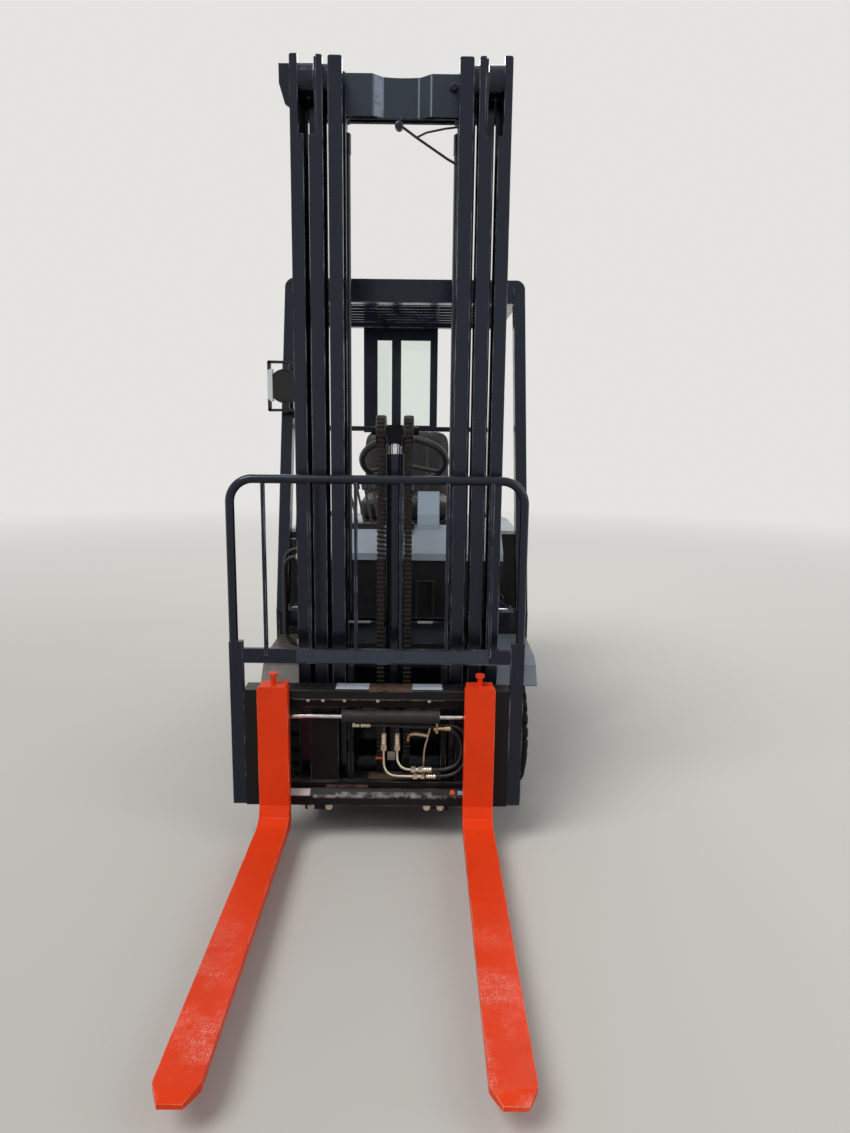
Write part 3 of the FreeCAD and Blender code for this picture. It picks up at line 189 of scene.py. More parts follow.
def prisms(origins, along, across, up, outline, low, high):
    """Like prisms, one a row of origins.

    A point of the outline (a, b) at height h lies at origin + a * along + b * across + h * up.
    """
    origins = np.atleast_2d(origins)[:, None]
    count = len(origins)
    along, across, up = (np.broadcast_to(axis, (count, 3))[:, None]
                         for axis in (along, across, up))
    outline = np.asarray(outline, float)
    corners = len(outline)
    flat = origins + outline[:, :1] * along + outline[:, 1:] * across
    points = np.stack((flat + low * up, flat + high * up), 1)
    ring = np.arange(corners)
    after = (ring + 1) % corners
    one = [ring[::-1], ring + corners, *zip(ring, after, after + corners, ring + corners)]
    faces = [tuple(i + k * 2 * corners for i in face) for k in range(count) for face in one]
    return points.reshape(-1, 3), faces


def slab(place, outline, near, far):
    """Prism over an outline (x, z), from one distance behind a place to another."""
    return prisms(place, X_AXIS, Z_AXIS, Y_AXIS, outline, near, far)


def tube(path, radius, sides=14, reference=Y_AXIS):
    """Tube whose point at (s, a) is path(s) + radius * (cos a * normal + sin a * binormal).

    The normal is the part of the reference direction that is square to the tangent, which is the
    difference of the neighbours; the binormal is their cross product.
    """
    tangent = unit(np.gradient(path, axis=0))
    normal = unit(reference - (tangent @ reference)[:, None] * tangent)
    binormal = np.cross(tangent, normal)
    ring = circle(sides)
    rings = ring[:, :1] * normal[:, None] + ring[:, 1:] * binormal[:, None]
    return (path[:, None] + radius * rings).reshape(-1, 3), tube_faces(len(path), sides)


def smooth_path(knots, steps=10):
    """Cubic through the knots whose slope at a knot is half the difference of its neighbours."""
    knots = np.asarray(knots, float)
    padded = np.vstack((2 * knots[0] - knots[1], knots, 2 * knots[-1] - knots[-2]))
    t = np.linspace(0, 1, steps, endpoint=False)[None, :, None]
    p0, p1, p2, p3 = (padded[k:len(knots) - 1 + k, None] for k in range(4))
    curve = 0.5 * (2 * p1 + (p2 - p0) * t + (2 * p0 - 5 * p1 + 4 * p2 - p3) * t ** 2
                   + (3 * p1 - p0 - 3 * p2 + p3) * t ** 3)
    return np.vstack((curve.reshape(-1, 3), knots[-1:]))


def rounded_line(knots, bend, steps=10):
    """Path along straight runs through the knots, with an arc of one radius at each corner.

    At a corner the arc's centre lies on the bisector, bend / sin(half) away; half is half the
    angle between the two runs.
    """
    knots = np.asarray(knots, float)
    path = [knots[0]]
    for before, corner, after in zip(knots, knots[1:], knots[2:]):
        back = unit(before - corner)
        ahead = unit(after - corner)
        half = math.acos(np.clip(back @ ahead, -1, 1)) / 2
        centre = corner + unit(back + ahead) * bend / math.sin(half)
        first = corner + back * bend / math.tan(half) - centre
        last = corner + ahead * bend / math.tan(half) - centre
        swing = math.pi - 2 * half
        for t in np.linspace(0, 1, steps):
            path.append(centre + (math.sin((1 - t) * swing) * first + math.sin(t * swing) * last)
                        / math.sin(swing))
    path.append(knots[-1])
    return np.array(path)


def span(place, near, far, axis=X_AXIS):
    """Two points on a line through a place, at two distances from it."""
    return place + near * axis, place + far * axis


def straight(start, end, profile, sides=20):
    """Turned or hexagonal piece on a straight axis; profile lists (distance, radius)."""
    start = np.asarray(start, float)
    axis = unit(np.asarray(end, float) - start)
    side = unit(np.cross(axis, ASKEW))
    other = np.cross(axis, side)
    ring = circle(sides)
    rings = [start + axis * distance + radius * (ring[:, :1] * side + ring[:, 1:] * other)
             for distance, radius in profile]
    return np.concatenate(rings), tube_faces(len(profile), sides)


def length_between(start, end):
    return float(np.linalg.norm(np.subtract(end, start)))


def rod(start, end, radius):
    return straight(start, end, [(0, radius), (length_between(start, end), radius)])


def crimp(start, end, radius):
    """Crimped sleeve of a hose: three shallow grooves between its rounded ends."""
    length = length_between(start, end)
    round_off = 0.0012
    groove = 0.0014
    profile = [(0.0, radius * 0.86), (round_off, radius)]
    for share in (0.25, 0.5, 0.75):
        middle = length * share
        profile += [(middle - groove, radius), (middle, radius * 0.9), (middle + groove, radius)]
    profile += [(length - round_off, radius), (length, radius * 0.86)]
    return straight(start, end, profile, 24)


def hex_nut(start, end, radius):
    """Hexagon nut with chamfered ends."""
    length = length_between(start, end)
    chamfer = 0.001
    return straight(start, end, [
        (0.0, radius * 0.9), (chamfer, radius * 1.08), (length - chamfer, radius * 1.08),
        (length, radius * 0.9)], 6)


def add_piece(name, groups, body):
    """Flat-shaded piece that rides on a body, from {finish: list of (points, faces)}."""
    points = []
    faces = []
    index = []
    base = 0
    for number, parts in enumerate(groups.values()):
        for some_points, some_faces in parts:
            points.append(some_points)
            faces += [tuple(int(i) + base for i in face) for face in some_faces]
            index += [number] * len(some_faces)
            base += len(some_points)
    piece = make_mesh(name, np.concatenate(points), faces)
    assert len(piece.data.polygons) == len(faces), name
    for finish in groups:
        piece.data.materials.append(FINISHES[finish])
    piece.data.polygons.foreach_set("material_index", index)
    bpy.ops.object.select_all(action="DESELECT")
    piece.select_set(True)
    bpy.context.view_layer.objects.active = piece
    bpy.ops.object.mode_set(mode="EDIT")
    bpy.ops.mesh.select_all(action="SELECT")
    bpy.ops.mesh.normals_make_consistent(inside=False)
    bpy.ops.object.mode_set(mode="OBJECT")
    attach(piece, body)
    return piece


def soften(piece, angle=0.6):
    """Smooth faces, with a crease where neighbours turn by more than an angle in radians."""
    mesh = piece.data
    mesh.polygons.foreach_set("use_smooth", np.ones(len(mesh.polygons), bool))
    mesh.set_sharp_from_angle(angle=angle)


# Shader nodes
def feed(tree, node, inputs):
    """Give inputs, by label or number, another node's socket, a value or a colour of three."""
    for label, value in inputs.items():
        socket = node.inputs[label]
        if isinstance(value, bpy.types.NodeSocket):
            tree.links.new(value, socket)
        elif socket.type == "RGBA":
            socket.default_value = (*tuple(value)[:3], 1.0)
        else:
            socket.default_value = value


def add_node(tree, kind, inputs, **settings):
    """Shader node of a kind, with its settings made and its inputs fed."""
    node = tree.nodes.new("ShaderNode" + kind)
    for name, value in settings.items():
        setattr(node, name, value)
    feed(tree, node, inputs)
    return node


def math_node(tree, operation, *values, clamp=False):
    """Result of a math node fed by sockets or numbers."""
    node = add_node(tree, "Math", dict(enumerate(values)), operation=operation, use_clamp=clamp)
    return node.outputs[0]


def times(tree, *values, clamp=False):
    return math_node(tree, "MULTIPLY", *values, clamp=clamp)


def coordinates(tree, kind="Object"):
    return add_node(tree, "TexCoord", {}).outputs[kind]


def axes_of(tree, vector):
    """X, Y and Z of a vector's socket."""
    return add_node(tree, "SeparateXYZ", {0: vector}).outputs


def noise_node(tree, scale, detail=4.0, rough=0.6, stretch=None):
    """Noise on Object coordinates; stretch gives a scale for each axis."""
    place = coordinates(tree)
    if stretch:
        place = add_node(tree, "Mapping", {"Scale": stretch, "Vector": place}).outputs["Vector"]
    return add_node(tree, "TexNoise", {
        "Vector": place, "Scale": scale, "Detail": detail, "Roughness": rough}).outputs["Fac"]


def ramp(tree, value, low, high, low_out=0.0, high_out=1.0):
    """Straight ramp of a value from low..high to low_out..high_out, clamped."""
    return add_node(tree, "MapRange", {
        "Value": value, "From Min": low, "From Max": high, "To Min": low_out,
        "To Max": high_out}).outputs["Result"]


def mix_colour(tree, factor, first, second):
    """Colour between two, by a mask."""
    inputs = {"Factor": factor, 6: first, 7: second}
    return add_node(tree, "Mix", inputs, data_type="RGBA").outputs[2]


def new_group(name, inputs):
    """Node group with float inputs {name: default}, which puts out a Mask."""
    group = bpy.data.node_groups.new(name, "ShaderNodeTree")
    for label, value in inputs.items():
        socket = group.interface.new_socket(label, in_out="INPUT", socket_type="NodeSocketFloat")
        socket.default_value = value
    group.interface.new_socket("Mask", in_out="OUTPUT", socket_type="NodeSocketFloat")
    start = group.nodes.new("NodeGroupInput")
    end = group.nodes.new("NodeGroupOutput")
    return group, start.outputs, end


def edge_wear_and_highlight_group():
    """Mask of rubbed edges, on black gloss partly painted edge highlights: how far a bevelled
    normal leans from the face's, times a noise.
    """
    group, values, end = new_group("Edge wear and highlight", {"Amount": 1.0, "Scale": 12.0})
    bevel = add_node(group, "Bevel", {"Radius": 0.004}, samples=4)
    face = add_node(group, "NewGeometry", {})
    normals = {0: bevel.outputs["Normal"], 1: face.outputs["Normal"]}
    dot = add_node(group, "VectorMath", normals, operation="DOT_PRODUCT")
    lean = math_node(group, "SUBTRACT", 1.0, dot.outputs["Value"])
    edge = ramp(group, lean, 0.02, 0.16)
    patches = ramp(group, noise_node(group, values["Scale"]), 0.44, 0.62)
    mask = times(group, times(group, edge, patches), values["Amount"], clamp=True)
    feed(group, end, {"Mask": mask})


def settled_dust_group():
    """Mask of dust: how far a face looks up, times a noise, plus a thin even film."""
    group, values, end = new_group("Settled dust", {"Amount": 1.0, "Film": 0.1})
    up = ramp(group, axes_of(group, coordinates(group, "Normal"))["Z"], 0.35, 1.0)
    cloud = ramp(group, noise_node(group, 9.0, 5.0, 0.65), 0.35, 0.75)
    mask = times(group, times(group, up, cloud), values["Amount"])
    film = times(group, noise_node(group, 22.0, 4.0, 0.7), values["Film"])
    feed(group, end, {"Mask": math_node(group, "ADD", mask, film, clamp=True)})


def scratch_group():
    """Mask of fine scratches: two stretched noises, cut near their middle value."""
    group, values, end = new_group("Scratches", {"Amount": 1.0})
    lines = []
    for stretch in ((14, 110, 14), (120, 9, 40)):
        noise = noise_node(group, 3.0, 3.0, 0.55, stretch)
        off = math_node(group, "ABSOLUTE", math_node(group, "SUBTRACT", noise, 0.5))
        lines.append(ramp(group, off, 0.0, 0.012, 1.0, 0.0))
    broken = ramp(group, noise_node(group, 7.0), 0.48, 0.6)
    mask = times(group, math_node(group, "MAXIMUM", *lines), broken)
    feed(group, end, {"Mask": times(group, mask, values["Amount"], clamp=True)})


def place_group(tree, name, **values):
    """The named group in a material, with its own values; gives its Mask."""
    inputs = {label.capitalize(): value for label, value in values.items()}
    node = add_node(tree, "Group", inputs, node_tree=bpy.data.node_groups[name])
    return node.outputs["Mask"]


def new_material(name, roughness=0.5, metallic=0.0, coat=0.0, gloss=0.5):
    """Material with its Principled shader, whose even values stand on its own sockets."""
    material = bpy.data.materials.new(name)
    material.use_nodes = True
    tree = material.node_tree
    shader = tree.nodes["Principled BSDF"]
    feed(tree, shader, {"Roughness": roughness, "Metallic": metallic, "Specular IOR Level": gloss,
                        "Coat Weight": coat, "Coat Roughness": 0.12})
    return material, tree, shader


def bump(tree, shader, height, strength, distance):
    """Relief of a shader by a height's socket."""
    node = add_node(tree, "Bump", {"Strength": strength, "Distance": distance, "Height": height})
    feed(tree, shader, {"Normal": node.outputs["Normal"]})


DUST = (0.23, 0.20, 0.17)
BARE_STEEL = (0.30, 0.29, 0.27)


def paint(name, colour, roughness=0.3, rub=0.6, dust=0.3, film=0.05, grime=0.0, gloss=0.3,
          under=BARE_STEEL, orange_peel=0.12, tint=(1.0, 1.0, 1.0)):
    """Sprayed paint: rubbed edges, which on black gloss are partly painted edge highlights, dust on
    what looks up, brown grime and a slight ripple.
    """
    material, tree, shader = new_material(name, roughness, gloss=gloss)
    tone = ramp(tree, noise_node(tree, 3.0, 3.0, 0.6), 0.3, 0.7)
    base = mix_colour(tree, tone, [0.82 * c for c in tuple(colour)[:3]], colour)
    if grime:
        spread = ramp(tree, noise_node(tree, 5.5, 6.0, 0.7), 0.62 - 0.3 * grime, 0.78)
        base = mix_colour(tree, spread, base, colours().grime)
    settled = place_group(tree, "Settled dust", amount=dust, film=film)
    base = mix_colour(tree, settled, base, DUST)
    # Rubbed edges take the under colour: worn edges, and on black gloss partly painted edge
    # highlights.
    base = mix_colour(tree, place_group(tree, "Edge wear and highlight", amount=rub), base, under)
    mottle = ramp(tree, noise_node(tree, 16.0, 4.0, 0.65), 0.3, 0.75,
                  roughness * 0.7, min(1.0, roughness * 1.5))
    matte = times(tree, settled, 0.4)
    feed(tree, shader, {"Specular Tint": tint, "Base Color": base,
                        "Roughness": math_node(tree, "ADD", mottle, matte, clamp=True)})
    bump(tree, shader, noise_node(tree, 260.0, 2.0, 0.5), orange_peel, 0.0006)
    return material


def patch(tree, low, high, ragged, soft=0.004):
    """1 inside a box in Object coordinates, with a soft and ragged edge, else 0.

    The product over the three axes of a ramp on half the size less the distance to the middle.
    """
    place = axes_of(tree, coordinates(tree))
    mask = None
    for axis in range(3):
        middle = (low[axis] + high[axis]) / 2
        half = (high[axis] - low[axis]) / 2
        off = math_node(tree, "ABSOLUTE", math_node(tree, "SUBTRACT", place[axis], middle))
        inside = ramp(tree, off, half, half + soft, 1.0, 0.0)
        mask = inside if mask is None else times(tree, mask, inside)
    if ragged:
        worn = ramp(tree, noise_node(tree, 34.0, 5.0, 0.7), ragged - 0.1, ragged + 0.1)
        mask = times(tree, mask, worn)
    return mask


def add_stains_and_painted_light(material, patches):
    """Other colours in places of a finish, stains and painted highlights and reflections, each (X
    span, Y span, Z span, colour, raggedness).

    The spans are in metres from the mast's zero.
    """
    tree = material.node_tree
    shader = tree.nodes["Principled BSDF"]
    base = shader.inputs["Base Color"].links[0].from_socket
    zero = mast_zero()
    for x, y, z, tone, ragged in patches:
        low = zero + (x[0], y[0], z[0])
        high = zero + (x[1], y[1], z[1])
        base = mix_colour(tree, patch(tree, low, high, ragged), base, tone)
    feed(tree, shader, {"Base Color": base})
    return material


def fork_paint():
    """Orange fork paint, scuffed pale along the blades' tops and scratched near the tips."""
    material, tree, shader = new_material("Fork paint", 0.36, gloss=0.08)
    colour = tuple(colours().orange)
    tone = ramp(tree, noise_node(tree, 4.0, 4.0, 0.6), 0.3, 0.7)
    base = mix_colour(tree, tone, [0.86 * c for c in colour], colour)
    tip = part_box("fork_left")[0].y
    near_tip = ramp(tree, axes_of(tree, coordinates(tree))["Y"], tip + 0.75, tip + 0.1)
    scuffs = times(tree, place_group(tree, "Scratches", amount=1.0), near_tip)
    chalk = ramp(tree, noise_node(tree, 11.0, 6.0, 0.75), 0.56, 0.72)
    chalk = times(tree, chalk, times(tree, near_tip, 0.35))
    rubbed = place_group(tree, "Edge wear and highlight", amount=0.9, scale=9.0)
    for mask, pale in ((chalk, (0.80, 0.24, 0.12)), (scuffs, (0.80, 0.62, 0.54)),
                       (rubbed, (0.75, 0.36, 0.22))):
        base = mix_colour(tree, mask, base, pale)
    mottle = ramp(tree, noise_node(tree, 14.0, 4.0, 0.6), 0.3, 0.75, 0.24, 0.48)
    feed(tree, shader, {"Base Color": base, "Roughness": mottle})
    bump(tree, shader, noise_node(tree, 90.0, 3.0, 0.6), 0.12, 0.0008)
    return material


def tyre_rubber():
    """Worn solid rubber, browned by floor dust between the lugs."""
    material, tree, shader = new_material("Tyre rubber", 0.72, gloss=0.10)
    cloud = ramp(tree, noise_node(tree, 12.0, 6.0, 0.7), 0.45, 0.78, 0.0, 0.45)
    base = mix_colour(tree, cloud, (0.0035, 0.0035, 0.0040), (0.018, 0.016, 0.013))
    feed(tree, shader, {"Base Color": base})
    bump(tree, shader, noise_node(tree, 180.0, 5.0, 0.7), 0.4, 0.0015)
    return material


def bare_metal(name, colour, roughness, oil):
    """Bare steel or iron with a patchy film of dark oil."""
    material, tree, shader = new_material(name, roughness, 1.0)
    film = ramp(tree, noise_node(tree, 18.0, 5.0, 0.7), 0.45, 0.7, 0.0, oil)
    shine = ramp(tree, noise_node(tree, 30.0), 0.3, 0.7, roughness * 0.75, roughness * 1.4)
    feed(tree, shader, {"Base Color": mix_colour(tree, film, colour, (0.03, 0.022, 0.016)),
                        "Roughness": shine})
    return material


def plastic(name, colour, roughness=0.5, grain=0.25, dust=0.25, gloss=0.35):
    """Moulded plastic or rubber with a fine grain and dust on what looks up."""
    material, tree, shader = new_material(name, roughness, gloss=gloss)
    settled = place_group(tree, "Settled dust", amount=dust, film=0.03)
    shine = ramp(tree, noise_node(tree, 25.0), 0.3, 0.7, roughness * 0.8,
                 min(1.0, roughness * 1.25))
    feed(tree, shader, {"Base Color": mix_colour(tree, settled, colour, DUST), "Roughness": shine})
    bump(tree, shader, noise_node(tree, 420.0, 2.0), grain, 0.0006)
    return material


def vinyl():
    """Black seat vinyl: a pebbled grain of cells and a soft sheen."""
    material, tree, shader = new_material("Seat vinyl", 0.42, 0.0, 0.06, 0.35)
    cells = add_node(tree, "TexVoronoi", {"Vector": coordinates(tree), "Scale": 420.0},
                     feature="DISTANCE_TO_EDGE")
    base = mix_colour(tree, noise_node(tree, 7.0), (0.006, 0.006, 0.007), (0.013, 0.012, 0.012))
    settled = place_group(tree, "Settled dust", amount=0.07, film=0.012)
    feed(tree, shader, {"Base Color": mix_colour(tree, settled, base, DUST)})
    bump(tree, shader, ramp(tree, cells.outputs["Distance"], 0.0, 0.2), 0.35, 0.0008)
    return material


def clear_glass(name, tint, roughness=0.03):
    """Thin glass with faint smears."""
    material, tree, shader = new_material(name, roughness)
    smear = ramp(tree, noise_node(tree, 8.0), 0.4, 0.8, roughness, roughness + 0.1)
    feed(tree, shader, {"Base Color": tint, "Transmission Weight": 1.0, "IOR": 1.45,
                        "Roughness": smear})
    return material


# On black gloss the under colour is pale blue-grey and the rub is strong: the rubbed edges are
# partly worn edges and partly painted edge highlights.
BLACK_GLOSS = dict(roughness=0.20, rub=0.8, dust=0.12, film=0.010, gloss=0.40,
                   under=(0.36, 0.39, 0.45), tint=(0.72, 0.84, 1.0))
FINISHES = {}


def slot_finishes():
    """Finishes by the record's slot name or by a name of the small pieces' own.

    The numbers are roughness, edge rub (on black gloss partly painted edge highlights), dust and
    film for paint; roughness, grain, dust and gloss for plastic; roughness and oil for bare metal.
    """
    c = colours()
    return {
        "black_gloss": paint("Black gloss", c.black, **BLACK_GLOSS),
        "carriage_black": paint("Carriage black", (0.004, 0.004, 0.0045), 0.40, 0.5, 0.2, 0.008,
                                grime=0.12, gloss=0.15),
        "chassis_black": paint("Chassis black", (0.008, 0.008, 0.010), 0.4, 0.3, 0.4, 0.03,
                               gloss=0.22),
        "body_grey": paint("Body grey", c.grey, 0.34, 0.3, 0.25, 0.05, gloss=0.5),
        "counterweight_grey": paint("Counterweight grey", c.grey, 0.45, 0.3, 0.3, 0.05,
                                    gloss=0.4, orange_peel=0.5),
        "rim_paint": paint("Rim paint", (0.42, 0.43, 0.44), 0.45, 0.5, 0.4, 0.2, grime=0.4),
        "fender_black": plastic("Fender plastic", (0.030, 0.030, 0.033), 0.5, 0.3, 0.9),
        "panel_grey": plastic("Panel grey", (0.30, 0.37, 0.44), 0.45),
        "fork_orange": fork_paint(),
        "tyre_rubber": tyre_rubber(),
        "chrome_rod": bare_metal("Chromed rod", (0.72, 0.72, 0.74), 0.14, 0.5),
        "chain_steel": bare_metal("Chain steel", (0.040, 0.037, 0.034), 0.30, 0.9),
        "sheave_iron": bare_metal("Sheave iron", (0.055, 0.052, 0.048), 0.38, 0.8),
        "battery_case": paint("Battery case", (0.06, 0.065, 0.075), 0.5, 0.4, 0.4),
        "floor_mat": plastic("Floor mat", (0.020, 0.020, 0.022), 0.7, 0.6, 0.8),
        "pedal_rubber": plastic("Pedal rubber", (0.018, 0.018, 0.019), 0.7, 0.6, 0.5),
        "seat_vinyl": vinyl(),
        "seat_metal": paint("Seat metal", (0.02, 0.02, 0.02), 0.45, 0.3, 0.4),
        "black_plastic": plastic("Black plastic", (0.016, 0.016, 0.018), 0.34, 0.15, 0.3),
        "lamp_glass": clear_glass("Lamp glass", (0.9, 0.92, 0.95)),
        "window_glass": clear_glass("Window glass", (0.86, 0.95, 0.90)),
        "pale_lens": plastic("Pale lens", (0.72, 0.75, 0.76), 0.22, 0.05, 0.0, 0.6),
        "hose": plastic("Hose rubber", (0.012, 0.012, 0.013), 0.42, 0.2, 0.15),
        "blue_plastic": plastic("Blue plastic", (0.33, 0.43, 0.55), 0.5, 0.2, 0.1),
        "mark_orange": plastic("Orange mark", (0.62, 0.10, 0.02), 0.5, 0.2, 0.1),
        "fitting": bare_metal("Plated fitting", (0.60, 0.54, 0.44), 0.34, 0.3),
        "brass": bare_metal("Brass fitting", (0.50, 0.38, 0.24), 0.36, 0.4),
    }


# Pale blue-grey of painted highlights on top edges
PALE_HIGHLIGHT = (0.42, 0.46, 0.52)
CREAM = (0.42, 0.36, 0.27)
BROWN = (0.105, 0.066, 0.048)
# Lighter bluish black of a painted reflection
PAINTED_REFLECTION = (0.030, 0.037, 0.052)
# Blue-grey of painted crease highlights
CREASE_HIGHLIGHT = (0.26, 0.31, 0.38)
# Pale grey of painted highlights on a lit edge
LIT_EDGE = (0.55, 0.57, 0.57)
CROSS_FRONT = (0.105, 0.145)
CROSS_HIGH = (2.396, 2.53)
# Worn and stained places, and places of painted highlights and reflections, by node, as the
# function that colours stains and painted light takes them
STAINS_AND_PAINTED_LIGHT = {
    "carriage": (
        ((-0.345, 0.160), (-0.099, -0.093), (0.500, 0.506), CREAM, 0.46),
        ((-0.345, -0.20), (-0.099, -0.066), (0.5185, 0.522), BROWN, 0.44),
        ((-0.10, 0.19), (-0.072, 0.02), (0.192, 0.197), BROWN, 0.30),
        ((-0.192, -0.098), (-0.072, -0.05), (0.190, 0.197), CREAM, 0.40),
        ((-0.24, -0.10), (-0.099, -0.066), (0.185, 0.192), BROWN, 0.42)),
    "shift_frame": (
        # Pale strips along the frame's top edge are painted highlights; brown grime lies between
        # them.
        ((-0.203, -0.096), (-0.112, -0.050), (0.5415, 0.545), PALE_HIGHLIGHT, 0.0),
        ((0.052, 0.150), (-0.112, -0.050), (0.5415, 0.545), PALE_HIGHLIGHT, 0.0),
        ((-0.09, 0.05), (-0.13, -0.050), (0.5415, 0.545), BROWN, 0.42),
        ((-0.370, -0.296), (-0.1285, -0.110), (0.1715, 0.1845), (0.50, 0.44, 0.42), 0.30),
        ((-0.205, 0.120), (-0.1285, -0.110), (0.168, 0.176), (0.20, 0.19, 0.17), 0.50),
        ((-0.28, 0.20), (-0.1315, -0.128), (0.164, 0.170), (0.22, 0.20, 0.19), 0.50)),
    "mast_inner": (
        # A painted sky reflection, in lighter bluish black, over the whole cross front.
        ((-0.20, 0.20), CROSS_FRONT, CROSS_HIGH, PAINTED_REFLECTION, 0.0),
        # Painted highlights: a soft one at the cross's left bend, and thin ones at its two creases.
        ((-0.087, -0.062), CROSS_FRONT, CROSS_HIGH, (0.17, 0.20, 0.25), 0.42),
        ((0.0540, 0.0542), CROSS_FRONT, CROSS_HIGH, CREASE_HIGHLIGHT, 0.0),
        ((0.0939, 0.0941), CROSS_FRONT, CROSS_HIGH, CREASE_HIGHLIGHT, 0.0),
        # Painted highlights on the lit top edge of the inner tie.
        ((-0.190, -0.104), (0.105, 0.130), (0.717, 0.722), LIT_EDGE, 0.0),
        ((0.068, 0.118), (0.105, 0.130), (0.717, 0.722), LIT_EDGE, 0.0)),
    "load_backrest": (
        # A painted reflection, in lighter bluish black, on the flat bar.
        ((-0.33, 0.30), (-0.140, -0.120), (0.640, 0.678), PAINTED_REFLECTION, 0.0),),
    "fenders": (
        # Fender tops: a painted sky reflection in light blue-grey on the right, and a brownish
        # patch on the left.
        ((0.3, 0.6), (0.1, 0.7), (0.46, 0.57), (0.16, 0.19, 0.22), 0.0),
        ((-0.6, -0.3), (0.1, 0.7), (0.46, 0.57), (0.055, 0.042, 0.034), 0.0)),
}


def node_finishes():
    """Finishes by the name of a node that is worn, stained or given painted highlights and
    reflections in its own places.
    """
    black = (0.0040, 0.0040, 0.0045)
    finishes = {
        "carriage": paint("Carriage paint", black, 0.40, 0.5, 0.15, 0.006, grime=0.12, gloss=0.14),
        "shift_frame": paint("Shifter paint", black, 0.34, 0.5, 0.10, 0.006, gloss=0.22),
        "mast_inner": paint("Inner mast paint", colours().black, **BLACK_GLOSS),
        "load_backrest": paint("Backrest paint", colours().black, **BLACK_GLOSS),
        "fenders": plastic("Fender plastic", (0.030, 0.030, 0.033), 0.42, 0.3, 0.5, 0.5),
    }
    for node, material in finishes.items():
        add_stains_and_painted_light(material, STAINS_AND_PAINTED_LIGHT[node])
    finishes["shift_barrel"] = paint("Barrel paint", (0.018, 0.017, 0.016), 0.5, 0.4, 0.25, 0.02,
                                     gloss=0.25)
    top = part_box("free_lift_ram")[1].z
    head = ((-0.2, 0.2), (-0.1, 0.2), (top - 0.0605, top + 0.1), (0.010, 0.011, 0.014), 0.0)
    finishes["free_lift_ram"] = add_stains_and_painted_light(bare_metal("Lift ram", (0.66, 0.66, 0.68), 0.14, 0.5), [head])
    return finishes


class FORKLIFT_OT_finishes(bpy.types.Operator):
    """Make every finish and give each solid its own or the one that its record names"""
    bl_idname = "forklift.finishes"
    bl_label = "Finishes"

    def execute(self, context):
        edge_wear_and_highlight_group()
        settled_dust_group()
        scratch_group()
        FINISHES.update(slot_finishes())
        own = node_finishes()
        for row in frame["record"]["subparts"]:
            node = frame["nodes"][row["node"]]
            finish = own.get(row["node"], FINISHES[row["material_slot"]])
            if not node.material_slots:
                node.data.materials.append(finish)
            for place in node.material_slots:
                place.material = finish
        return {"FINISHED"}


# Leaf chains
def leaf_chain(path, wide, high, pitch, plates):
    """Leaf chain in a plane square to X: waisted plates between pins, in turn odd and even.

    The pins stand at equal steps along the path.
    """
    length = np.concatenate(([0], np.cumsum(np.linalg.norm(np.diff(path, axis=0), axis=1))))
    where = np.linspace(0, length[-1], int(length[-1] / pitch) + 1)
    pins = np.stack([np.interp(where, length, path[:, k]) for k in range(3)], -1)
    steps = np.diff(pins, axis=0)
    along = unit(steps)
    across = np.cross(X_AXIS, along)
    middle = (pins[1:] + pins[:-1]) / 2
    overhang = high * 0.42
    reach = np.linalg.norm(steps, axis=1).mean() / 2 + overhang
    half = high / 2
    lower = [(-reach, -half * 0.45), (-reach * 0.8, -half), (-reach * 0.35, -half),
             (0, -half * 0.72), (reach * 0.35, -half), (reach * 0.8, -half), (reach, -half * 0.45)]
    outline = lower + [(-a, -b) for a, b in lower]
    slots = 2 * plates - 1
    thick = wide / slots
    play = 0.0001
    parts = []
    for slot in range(slots):
        rows = np.arange(slot % 2, len(middle), 2)
        low = -wide / 2 + slot * thick
        parts.append(prisms(middle[rows], along[rows], across[rows], X_AXIS, outline,
                            low + play, low + thick - play))
    pin_along = np.vstack((along, along[-1:]))
    pin_across = np.vstack((across, across[-1:]))
    pin_half = wide / 2 + 0.0012
    pin = circle(8, high * 0.26)
    parts.append(prisms(pins, pin_along, pin_across, X_AXIS, pin, -pin_half, pin_half))
    return parts


def chain_centres():
    """X of each chain and the chains' width, from the two solids of the front strands."""
    xs = points_of(frame["nodes"]["chain_front"].data)[:, 0]
    middle = (xs.min() + xs.max()) / 2
    left = xs[xs < middle]
    right = xs[xs > middle]
    return ((left.min() + left.max()) / 2, (right.min() + right.max()) / 2), left.max() - left.min()


